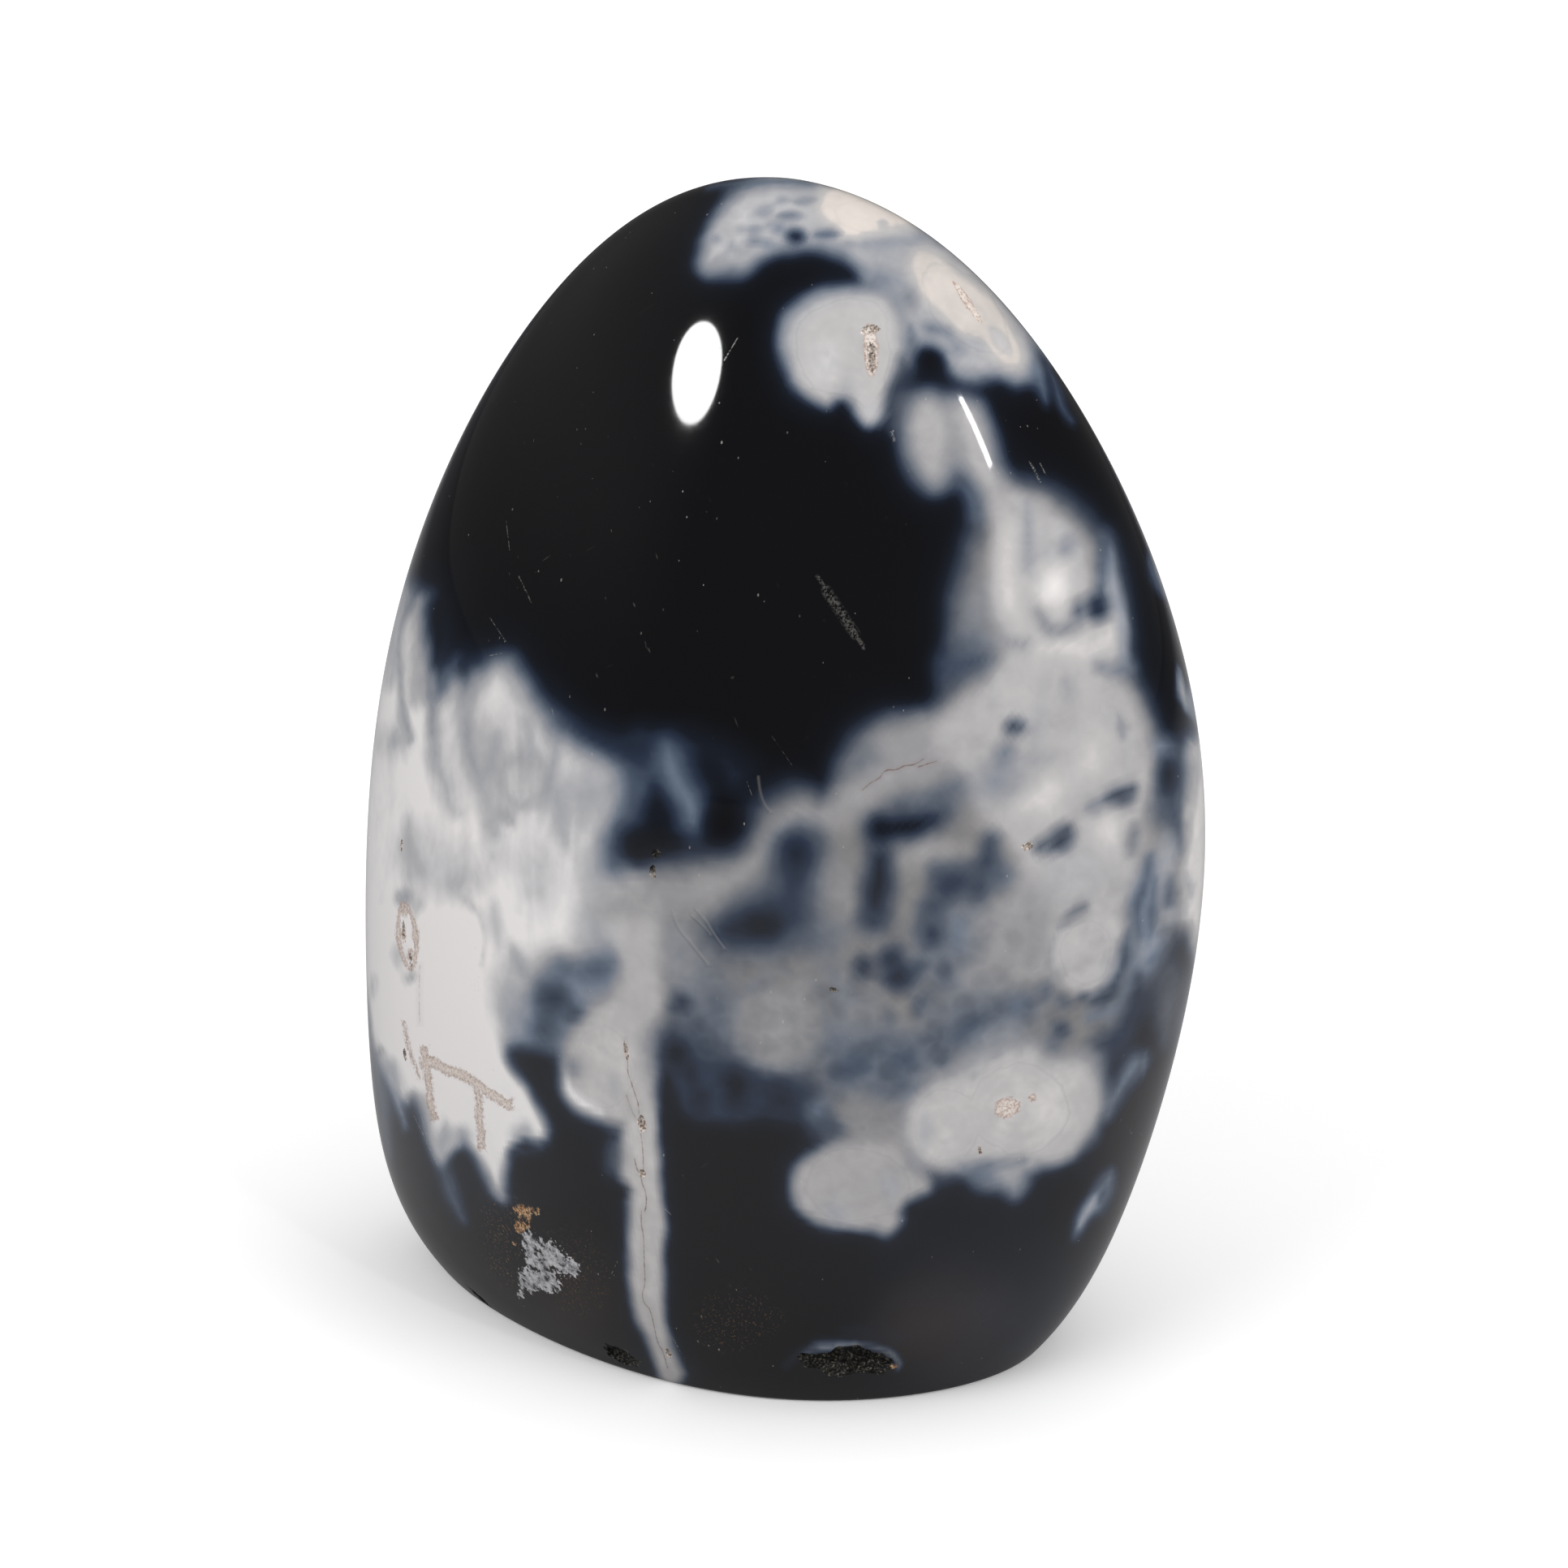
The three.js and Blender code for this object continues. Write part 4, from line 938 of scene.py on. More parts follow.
def pick_edges(sheet: bmesh.types.BMesh, wanted: Callable[[Vector, Vector], bool]) -> None:
    """Selects the edges whose two ends answer a question with yes."""
    for edge in sheet.edges:
        edge.select_set(wanted(edge.verts[0].co, edge.verts[1].co))
    sheet.select_flush_mode()


def corners(piece: bpy.types.Object) -> np.ndarray:
    """A piece's corners in millimetres."""
    flat = np.empty(len(piece.data.vertices) * 3, np.float32)
    piece.data.vertices.foreach_get("co", flat)
    return flat.reshape(-1, 3).astype(float) / MM


def move_corners(piece: bpy.types.Object, points: np.ndarray) -> None:
    """Puts a piece's corners at points in millimetres."""
    piece.data.vertices.foreach_set("co", (points * MM).astype(np.float32).ravel())
    piece.data.update()


def drift(points: np.ndarray, grain: float, seed: float) -> np.ndarray:
    """A smooth field of vectors over points in millimetres, with waves about grain long."""
    shift = Vector((seed, -seed, 2 * seed))
    return np.array([noise.noise_vector(Vector(p) / grain + shift) for p in points])


@dataclass(frozen=True)
class Hollow:
    """A natural hollow that the polishing left open, placed where it is seen on the front.

    half_size runs along the skin, up it and into it, and turn is counter-clockwise.
    """

    name: str
    place: Point2
    half_size: Point3
    turn: float = 0.0
    sunk: float = 0.0
    rough: float = 0.3
    grain: float = 0.5
    detail: int = 4

    def lump(self, skin: bpy.types.Object, seed: float) -> bpy.types.Object:
        """Makes the lump that cuts this hollow.

        Args:
            skin: The uncut stone.
            seed: Sets this lump's shape apart from the others.

        Returns:
            The lump, at its place on the skin.
        """
        eye, way = VIEW.eye(), VIEW.sight(self.place)
        hit, place, normal, _ = skin.ray_cast(Vector(eye * MM), Vector(way))
        if not hit:
            raise ValueError(f"{self.name} misses the stone")
        across = Vector((0, 0, 1)).cross(normal).normalized()
        up = normal.cross(across)
        bpy.ops.object.select_all(action="DESELECT")
        bpy.ops.mesh.primitive_ico_sphere_add(subdivisions=self.detail, radius=1)
        lump = bpy.context.object
        lump.name = self.name
        ball = corners(lump) * MM
        knobs = np.array([noise.noise(Vector(p) / self.grain + Vector((seed, 0, 0))) for p in ball])
        fine = np.array([noise.noise(Vector(p) / (self.grain * 0.35) + Vector((0, seed, 0))) for p in ball])
        ball *= (1 + self.rough * (knobs + 0.45 * fine))[:, None]
        ball *= np.array(self.half_size)
        turned = Matrix.Rotation(math.radians(self.turn), 3, "Z")
        frame_axes = Matrix((across, up, normal)).transposed() @ turned
        centre = np.array(place) / MM - np.array(normal) * self.sunk
        move_corners(lump, ball @ np.array(frame_axes).T + centre)
        return lump


HOLLOWS = (
    Hollow("foot_vug", (5.8, 3.1), (4.2, 1.75, 1.8), -2, 0.0, 0.42, 0.55, 6),
    Hollow("foot_chip", (-14.4, 3.6), (1.7, 1.3, 0.9), -10, 0.0, 0.4, 0.6, 5),
    Hollow("heel_chip", (-26.9, 8.8), (1.3, 0.6, 0.4), -28, 0.0, 0.4, 0.6, 4),
    Hollow("vein_pit_top", (-14.05, 30.5), (0.22, 0.85, 0.4), 8, 0.0, 0.3, 0.6, 3),
    Hollow("vein_pit_middle", (-12.65, 24.1), (0.42, 0.78, 0.5), 4, 0.0, 0.25, 0.6, 4),
    Hollow("vein_pit_low", (-12.6, 19.7), (0.36, 0.42, 0.4), 0, 0.0, 0.25, 0.6, 3),
    Hollow("vein_pit_foot", (-10.3, 3.9), (0.3, 0.6, 0.4), 10, 0.0, 0.3, 0.6, 3),
    Hollow("orb_slit", (7.55, 91.5), (0.38, 1.3, 0.5), 2, 0.0, 0.4, 0.45, 5),
    Hollow("orb_slit_top", (7.45, 94.0), (0.8, 0.42, 0.4), 10, 0.0, 0.3, 0.45, 4),
    Hollow("orb_rim_pit", (-33.6, 41.0), (0.42, 1.0, 0.3), 4, 0.0, 0.4, 0.5, 4),
    Hollow("orb_rim_pit_low", (-33.0, 38.5), (0.32, 0.8, 0.25), 6, 0.0, 0.4, 0.5, 4),
    Hollow("left_pit", (-33.5, 30.2), (0.35, 0.6, 0.35), 0, 0.0, 0.3, 0.6, 3),
    Hollow("dark_slit", (-33.8, 48.6), (0.25, 0.6, 0.3), -8, 0.0, 0.3, 0.6, 3),
    Hollow("glass_chip_a", (-11.4, 47.9), (0.42, 0.36, 0.22), 25, 0.0, 0.45, 0.5, 3),
    Hollow("glass_chip_b", (-11.7, 46.2), (0.3, 0.6, 0.22), 10, 0.0, 0.45, 0.5, 3),
    Hollow("red_pit", (21.3, 48.5), (0.5, 0.32, 0.25), 5, 0.0, 0.45, 0.5, 3),
    Hollow("middle_pit", (4.2, 35.9), (0.4, 0.2, 0.22), -20, 0.0, 0.35, 0.5, 3),
    Hollow("low_slit", (17.1, 21.7), (0.16, 0.45, 0.22), 15, 0.0, 0.3, 0.5, 3),
)


@dataclass
class PolishedStone:
    """The one piece of agate: its ground form, its hollows and its markings."""

    form: StoneForm = FORM
    view: FaceView = VIEW
    cells_across: int = 128
    cells_down: int = 124
    # The lattice is drawn together on the front, where the markings are fine
    gathered: float = 0.28
    foot_rings: int = 8
    foot_edge: float = 0.45
    hollows: tuple[Hollow, ...] = HOLLOWS
    piece: bpy.types.Object = field(init=False)

    def block(self) -> bpy.types.Object:
        """A cube, open below, with the lattice's cells."""
        bpy.ops.object.select_all(action="DESELECT")
        bpy.ops.mesh.primitive_cube_add(size=2)
        block = bpy.context.object
        block.name = "polished_agate"
        with editing(block) as sheet:
            bpy.ops.mesh.select_mode(type="FACE")
            for face in sheet.faces:
                face.select_set(face.normal.z < -0.5)
            bpy.ops.mesh.delete(type="ONLY_FACE")
        for cuts in (1, self.cells_down // 2 - 1):
            with editing(block) as sheet:
                pick_edges(sheet, lambda a, b: abs(a.z - b.z) > 1e-6)
                bpy.ops.mesh.subdivide(number_cuts=cuts)
        for cuts in (1, self.cells_across // 2 - 1):
            with editing(block) as sheet:
                pick_edges(sheet, lambda a, b: abs(a.z - b.z) < 1e-6)
                bpy.ops.mesh.subdivide(number_cuts=cuts)
        return block

    def wrap(self, block: bpy.types.Object) -> None:
        """Lays the block's lattice over the ground form, with the middle of its plan over the origin."""
        cube = corners(block) * MM
        slope = np.tan(cube * math.pi / 4)
        bearing = np.arctan2(slope[:, 1], slope[:, 0])
        reach = 1 / np.maximum(np.abs(np.cos(bearing)), np.abs(np.sin(bearing)))
        rim_polar = math.pi - np.arctan(reach)
        polar = np.arccos(slope[:, 2] / np.linalg.norm(slope, axis=1))
        front = math.radians(self.view.azimuth - 90)
        bearing = bearing - self.gathered * np.sin(bearing - front)
        points = self.form.skin(np.minimum(1, polar / rim_polar), bearing)
        points[cube[:, 2] < -0.9999, 2] = 0.0
        middle = (points.min(0) + points.max(0)) / 2
        points[:, :2] -= middle[:2]
        move_corners(block, points)

    def close_foot(self, block: bpy.types.Object) -> None:
        """Closes the foot with rings of cells towards its middle, and rounds its edge a little."""
        with editing(block) as sheet:
            pick_edges(sheet, lambda a, b: max(a.z, b.z) < 1e-7)
            bpy.ops.mesh.edge_face_add()
            bpy.ops.mesh.select_mode(type="FACE")
            for ring in range(self.foot_rings, 1, -1):
                share = (ring - 1) / ring
                bpy.ops.mesh.extrude_region_move()
                bpy.ops.transform.resize(value=(share, share, 1), center_override=(0, 0, 0))
            bpy.ops.mesh.poke()
        with editing(block) as sheet:
            on_foot = {face for face in sheet.faces if max(vert.co.z for vert in face.verts) < 1e-7}
            for edge in sheet.edges:
                edge.select_set(len(set(edge.link_faces) & on_foot) == 1)
            bpy.ops.mesh.bevel(offset=self.foot_edge * MM, segments=3, affect="EDGES")
        with editing(block):
            bpy.ops.mesh.select_all(action="SELECT")
            bpy.ops.mesh.normals_make_consistent(inside=False)

    def cut_hollows(self, block: bpy.types.Object) -> None:
        """Cuts the natural hollows, and marks the faces that they leave as raw stone."""
        lumps = [hollow.lump(block, 3.7 * i) for i, hollow in enumerate(self.hollows)]
        raw = bpy.data.materials.new("raw_hollow")
        block.data.materials.append(bpy.data.materials.new("polished_skin"))
        bpy.ops.object.select_all(action="DESELECT")
        for lump in lumps:
            lump.data.materials.append(raw)
            lump.select_set(True)
        bpy.context.view_layer.objects.active = lumps[0]
        bpy.ops.object.join()
        cut = block.modifiers.new("hollows", "BOOLEAN")
        cut.operation = "DIFFERENCE"
        cut.solver = "EXACT"
        cut.material_mode = "TRANSFER"
        cut.object = lumps[0]
        bpy.ops.object.select_all(action="DESELECT")
        block.select_set(True)
        bpy.context.view_layer.objects.active = block
        bpy.ops.object.modifier_apply(modifier=cut.name)
        bpy.data.objects.remove(lumps[0])
        index = np.empty(len(block.data.polygons), np.int32)
        block.data.polygons.foreach_get("material_index", index)
        names = [material.name for material in block.data.materials]
        is_raw = index == names.index(raw.name)
        self.note(block, "raw", is_raw, "FACE")
        LOG.info("hollows: %d cut, %d raw faces", len(self.hollows), int(is_raw.sum()))
        block.data.materials.clear()

    @staticmethod
    def note(piece: bpy.types.Object, name: str, values: np.ndarray, domain: str = "POINT") -> None:
        """Writes a value on each corner or face, for the finish to read."""
        kind, key = ("FLOAT_VECTOR", "vector") if values.ndim == 2 else ("FLOAT", "value")
        layer = piece.data.attributes.new(name, kind, domain)
        layer.data.foreach_set(key, values.astype(np.float32).ravel())

    def lay_markings(self, block: bpy.types.Object) -> None:
        """Works out how milky and how warm the stone is at each corner."""
        points = corners(block)
        _, _, into = self.view.axes()
        girth = np.array([40.4, 27.6, 57.0])
        outward = (points - np.array([0, 0, 48.0])) / girth**2
        outward /= np.linalg.norm(outward, axis=1)[:, None]
        facing = -outward @ into
        front = smooth((facing + 0.16) / 0.22)
        wander = 0.42 * drift(points, 4.2, 1.3) + 0.12 * drift(points, 1.6, 5.1)
        across, _, _ = self.view.axes()
        seen = self.view.lay(points + wander)
        behind = np.stack([-(points + 2.4 * wander) @ across, points[:, 2] + 2.4 * wander[:, 2]], 1)
        milk, warmth = laid(seen, FACE)
        back_milk, back_warmth = laid(behind, BACK)
        self.note(block, "milk", front * milk + (1 - front) * back_milk)
        self.note(block, "warmth", front * warmth + (1 - front) * back_warmth)
        plain = self.view.lay(points)
        self.note(block, "face", np.column_stack([plain, front]))
        for zone in ZONES:
            self.note(block, zone.name, zone.strength(seen) * front)

    def build(self) -> bpy.types.Object:
        """Builds the stone.

        Returns:
            The finished piece, undressed.
        """
        block = self.block()
        self.wrap(block)
        self.close_foot(block)
        self.cut_hollows(block)
        split = block.modifiers.new("triangles", "TRIANGULATE")
        split.quad_method = "SHORTEST_DIAGONAL"
        bpy.ops.object.modifier_apply(modifier=split.name)
        self.lay_markings(block)
        bpy.ops.object.shade_smooth_by_angle(angle=math.radians(40))
        LOG.info("stone: %d faces", len(block.data.polygons))
        self.piece = block
        return block


def linear(colour: tuple[float, float, float]) -> tuple[float, float, float, float]:
    """A colour given as 0 to 255 on a screen, as light."""
    parts = [c / 255 for c in colour]
    lit = [c / 12.92 if c <= 0.04045 else ((c + 0.055) / 1.055) ** 2.4 for c in parts]
    return (*lit, 1.0)


class NodeSheet:
    """Lays out nodes and joins them, for one material or one group."""

    def __init__(self, tree: bpy.types.NodeTree) -> None:
        """Starts on a tree."""
        self.tree = tree

    def join(self, value: object, socket: Socket) -> None:
        """Links a socket to an input, or sets the input to a plain value."""
        if isinstance(value, bpy.types.NodeSocket):
            self.tree.links.new(value, socket)
        else:
            socket.default_value = value

    def add(self, kind: str, inputs: dict | None = None, **settings: object) -> bpy.types.Node:
        """Adds a node.

        Args:
            kind: The node's type.
            inputs: Sockets or values by input name or number.
            settings: The node's own settings.

        Returns:
            The node.
        """
        node = self.tree.nodes.new(kind)
        for name, value in settings.items():
            setattr(node, name, value)
        for key, value in (inputs or {}).items():
            self.join(value, node.inputs[key])
        return node

    def math(self, operation: str, *values: object, clamp: bool = False) -> Socket:
        """A Math node's result."""
        inputs = dict(enumerate(values))
        return self.add("ShaderNodeMath", inputs, operation=operation, use_clamp=clamp).outputs[0]

    def vector(self, operation: str, *values: object, scale: float | None = None) -> bpy.types.Node:
        """A Vector Math node."""
        node = self.add("ShaderNodeVectorMath", dict(enumerate(values)), operation=operation)
        if scale is not None:
            node.inputs["Scale"].default_value = scale
        return node

    def join_all(self, operation: str, values: Sequence[Socket]) -> Socket:
        """Joins values two by two with a Math node."""
        result = values[0]
        for value in values[1:]:
            result = self.math(operation, result, value)
        return result

    def noise(
        self, at: Socket, scale: float, detail: float = 2, rough: float = 0.5, bend: float = 0
    ) -> Socket:
        """A noise value, about 0.5 in the mean."""
        inputs = {"Vector": at, "Scale": scale, "Detail": detail, "Roughness": rough, "Distortion": bend}
        return self.add("ShaderNodeTexNoise", inputs).outputs["Fac"]

    def ease(self, value: Socket, start: float, end: float, low: float = 0.0, high: float = 1.0) -> Socket:
        """Eases a value from low at start to high at end."""
        inputs = {"Value": value, "From Min": start, "From Max": end, "To Min": low, "To Max": high}
        return self.add("ShaderNodeMapRange", inputs, interpolation_type="SMOOTHSTEP").outputs["Result"]

    def stretch(self, value: Socket, start: float, end: float, low: float, high: float) -> Socket:
        """Maps a value from one range to another, kept inside it."""
        inputs = {"Value": value, "From Min": start, "From Max": end, "To Min": low, "To Max": high}
        return self.add("ShaderNodeMapRange", inputs).outputs["Result"]

    def read(self, name: str, kind: str = "Fac") -> Socket:
        """A value or a vector that the piece carries."""
        return self.add("ShaderNodeAttribute", attribute_name=name, attribute_type="GEOMETRY").outputs[kind]

    def blend(self, share: object, low: object, high: object) -> Socket:
        """Mixes two values."""
        return self.add("ShaderNodeMix", {0: share, 2: low, 3: high}, data_type="FLOAT").outputs[0]

    def mix(self, share: object, low: object, high: object) -> Socket:
        """Mixes two colours."""
        node = self.add("ShaderNodeMix", data_type="RGBA", clamp_factor=True)
        for key, value in ((0, share), (6, low), (7, high)):
            self.join(value, node.inputs[key])
        return node.outputs[2]

    def ramp(self, value: Socket, stops: Sequence[tuple[float, tuple[float, float, float]]]) -> Socket:
        """A colour ramp through colours given as 0 to 255."""
        node = self.add("ShaderNodeValToRGB", {"Fac": value})
        elements = node.color_ramp.elements
        for i, (place, colour) in enumerate(stops):
            element = elements[i] if i < 2 else elements.new(place)
            element.position = place
            element.color = linear(colour)
        return node.outputs["Color"]


def new_group(name: str, vectors: Sequence[str], values: Sequence[str]) -> tuple[NodeSheet, dict, Socket]:
    """Starts a node group that puts out one value.

    Args:
        name: The group's name.
        vectors: Names of the vectors it takes in.
        values: Names of the values it takes in.

    Returns:
        Its sheet, what it is given by name, and the input of its result.
    """
    tree = bpy.data.node_groups.new(name, "ShaderNodeTree")
    for labels, kind in ((vectors, "Vector"), (values, "Float")):
        for label in labels:
            tree.interface.new_socket(label, in_out="INPUT", socket_type=f"NodeSocket{kind}")
    tree.interface.new_socket("Value", in_out="OUTPUT", socket_type="NodeSocketFloat")
    sheet = NodeSheet(tree)
    given = sheet.add("NodeGroupInput").outputs
    result = sheet.add("NodeGroupOutput").inputs[0]
    return sheet, {label: given[label] for label in (*vectors, *values)}, result


def oval_group() -> bpy.types.NodeTree:
    """How far a place on the face is from an oval, below zero inside."""
    sheet, given, result = new_group("face_oval", ("Face", "Centre", "Half Size"), ("Turn",))
    away = sheet.vector("SUBTRACT", given["Face"], given["Centre"]).outputs[0]
    values = {"Vector": away, "Angle": given["Turn"]}
    turned = sheet.add("ShaderNodeVectorRotate", values, rotation_type="Z_AXIS", invert=True).outputs[0]
    shares = sheet.vector("DIVIDE", turned, given["Half Size"]).outputs[0]
    share = sheet.vector("LENGTH", shares).outputs["Value"]
    size = sheet.vector("LENGTH", turned).outputs["Value"]
    radius = sheet.math("DIVIDE", size, sheet.math("MAXIMUM", share, 1e-4))
    sheet.join(sheet.math("SUBTRACT", size, radius), result)
    return sheet.tree


def scratch_group() -> bpy.types.NodeTree:
    """A fine straight scratch on the face, broken up by grain."""
    vectors, values = ("Face", "Start", "Way", "Pace"), ("Half Width", "Grain")
    sheet, given, result = new_group("face_scratch", vectors, values)
    away = sheet.vector("SUBTRACT", given["Face"], given["Start"]).outputs[0]
    along = sheet.vector("DOT_PRODUCT", away, given["Pace"]).outputs["Value"]
    share = sheet.math("ADD", along, 0.0, clamp=True)
    foot = sheet.add("ShaderNodeVectorMath", {0: given["Way"], "Scale": share}, operation="SCALE").outputs[0]
    gap = sheet.vector("DISTANCE", away, foot).outputs["Value"]
    line = sheet.ease(sheet.math("DIVIDE", gap, given["Half Width"]), 1.0, 0.3)
    sheet.join(sheet.math("MULTIPLY", line, given["Grain"]), result)
    return sheet.tree


@dataclass(frozen=True)
class TracedLine:
    """A fine wandering line on the face, which the finish draws by itself.

    Each point is its place along the line's own direction, rising, and its place across it.
    """

    upright: bool
    half_width: float
    points: tuple[Point2, ...]

    def distance(self, sheet: NodeSheet, across: Socket, up: Socket) -> Socket:
        """Distance in millimetres to the line's edge, below zero inside."""
        along, aside = (up, across) if self.upright else (across, up)
        start, end = self.points[0][0], self.points[-1][0]
        low, high = min(p[1] for p in self.points) - 0.2, max(p[1] for p in self.points) + 0.2
        share = sheet.stretch(along, start, end, 0, 1)
        curve = sheet.add("ShaderNodeFloatCurve", {"Value": share})
        dots = curve.mapping.curves[0].points
        for i, (place, offset) in enumerate(self.points):
            spot = ((place - start) / (end - start), (offset - low) / (high - low))
            if i == 0:
                dots[0].location = spot
            elif i == len(self.points) - 1:
                dots[-1].location = spot
            else:
                dots.new(*spot)
        curve.mapping.update()
        wanted = sheet.stretch(curve.outputs[0], 0, 1, low, high)
        gap = sheet.math("ABSOLUTE", sheet.math("SUBTRACT", aside, wanted))
        before, past = sheet.math("SUBTRACT", start, along), sheet.math("SUBTRACT", along, end)
        gap = sheet.math("MAXIMUM", gap, sheet.math("MAXIMUM", before, past))
        return sheet.math("SUBTRACT", gap, self.half_width)


# Rough pinkish-brown seams in the white left end
SEAMS = (
    TracedLine(True, 0.28, ((24.7, -30.9), (26.2, -31.3), (27.5, -31.4), (29, -31.6), (30.6, -31.8))),
    TracedLine(False, 0.44, (
        (-31.7, 29.4), (-31, 29.5), (-30, 28.9), (-28.5, 28.4), (-27.6, 27.9), (-26.4, 27), (-25.4, 26.4),
        (-24.5, 25.8))),
    TracedLine(True, 0.3, ((22.1, -26.8), (23, -26.8), (24.5, -26.95), (26, -27), (27.6, -27.2))),
    TracedLine(True, 0.1, ((28.2, -32.2), (29.2, -32.6), (31, -33.2), (33, -33.6))),
)
CRACKS = (
    TracedLine(True, 0.0, (
        (25, -12.9), (25.9, -13), (26.8, -13.3), (27.8, -13.6), (28.8, -13.9), (29.6, -13.9), (30.6, -14.1),
        (31.4, -14.2))),
    TracedLine(True, -0.02, ((24.6, -13.2), (25.4, -13.6), (26.6, -14))),
    TracedLine(True, 0.0, ((20, -12.5), (22, -12.6), (23.2, -12.75))),
    TracedLine(True, 0.01, (
        (16.4, -12.4), (16.8, -12.3), (17.9, -12.3), (18.8, -12.6), (19.6, -12.8), (20.2, -13.1),
        (21, -13.3))),
    TracedLine(True, 0.0, (
        (2.6, -10.4), (4, -10.8), (5, -11.3), (6.4, -11.6), (7.6, -11.9), (9, -12.6), (10, -12.4),
        (12, -12.45), (14, -12.5), (15.4, -12.7), (16.4, -12.7))),
    TracedLine(False, 0.02, (
        (6.8, 53.5), (7.5, 54.1), (8.2, 54.5), (8.9, 55.2), (9.7, 55.25), (10.5, 55.6), (11.2, 55.7),
        (12.1, 56.2))),
    TracedLine(False, 0.0, ((11.7, 55.5), (12.4, 55.75), (13.3, 56.0))),
    TracedLine(True, -0.03, ((33, -32.2), (35, -32.25), (38, -32.2))),
)
# Glossy wrinkles where the polish runs over a break, also lightened in colour as a painted glint
WRINKLES = (
    TracedLine(True, 0.08, ((38.2, -6.8), (39.2, -7.6), (40.2, -8.4), (41.2, -9.2), (42.6, -9.8))),
    TracedLine(True, 0.07, ((39.6, -5.4), (41, -6.4), (42, -7), (42.9, -7.8))),
    TracedLine(True, 0.06, ((40.8, -6.6), (41.6, -7.3), (42.4, -8.2))),
    TracedLine(True, 0.07, ((51.6, -1.3), (52.6, -2), (54.6, -2.4))),
)


@dataclass(frozen=True)
class Scratch:
    """A fine straight scratch on the face."""

    start: Point2
    end: Point2
    half_width: float = 0.08
    strength: float = 1.0


SCRATCHES = (
    Scratch((2.8, 72.3), (4.4, 69.8), 0.22, 0.5),
    Scratch((3.6, 71.0), (6.1, 67.2), 0.6, 0.5),
    Scratch((5.4, 68.3), (6.9, 66.0), 0.26, 0.5),
    Scratch((-4.2, 93.3), (-5.4, 91.3), 0.07),
    Scratch((-23.5, 72.3), (-22.4, 70.0), 0.08),
    Scratch((-26.0, 68.6), (-24.6, 66.5), 0.06),
    Scratch((-26.0, 65.3), (-25.0, 65.5), 0.08),
    Scratch((-24.6, 77.2), (-24.3, 74.6), 0.04),
    Scratch((-20.6, 60.6), (-20.4, 60.0), 0.08),
    Scratch((21.5, 82.4), (22.4, 80.6), 0.13),
    Scratch((22.4, 82.2), (22.9, 81.2), 0.08),
    Scratch((9.3, 84.9), (9.6, 84.2), 0.2),
    Scratch((-15.5, 10.5), (-14.8, 12.0), 0.05),
    Scratch((-32.7, 24.8), (-30.5, 20.2), 0.07),
    Scratch((-32.2, 25.2), (-31.6, 23.2), 0.05),
    Scratch((-10.6, 16.6), (-10.0, 16.0), 0.05),
    Scratch((-10.0, 5.4), (-8.8, 3.2), 0.05),
    Scratch((-1.2, 58.2), (0.6, 55.6), 0.015),
    Scratch((-3.4, 54.2), (-2.9, 52.8), 0.03),
)


@dataclass(frozen=True)
class Oval:
    """An oval on the face, for a stain that the finish draws by itself.

    A rim above zero is the half width of a ring that is drawn in place of the whole oval.
    """

    centre: Point2
    half: Point2
    turn: float = 0.0
    rim: float = 0.0


STAINS = (
    Oval((7.5, 92.2), (0.62, 2.3), 3),
    Oval((16.0, 96.4), (0.28, 2.2), 34),
    Oval((19.5, 25.5), (1.1, 0.85), 20),
    Oval((21.7, 26.4), (0.3, 0.25), 20),
    Oval((-33.3, 40.6), (0.72, 2.8), 6, 0.26),
    Oval((-33.0, 38.9), (0.3, 0.5), 0),
    Oval((-33.5, 42.7), (0.35, 0.3), 0),
)


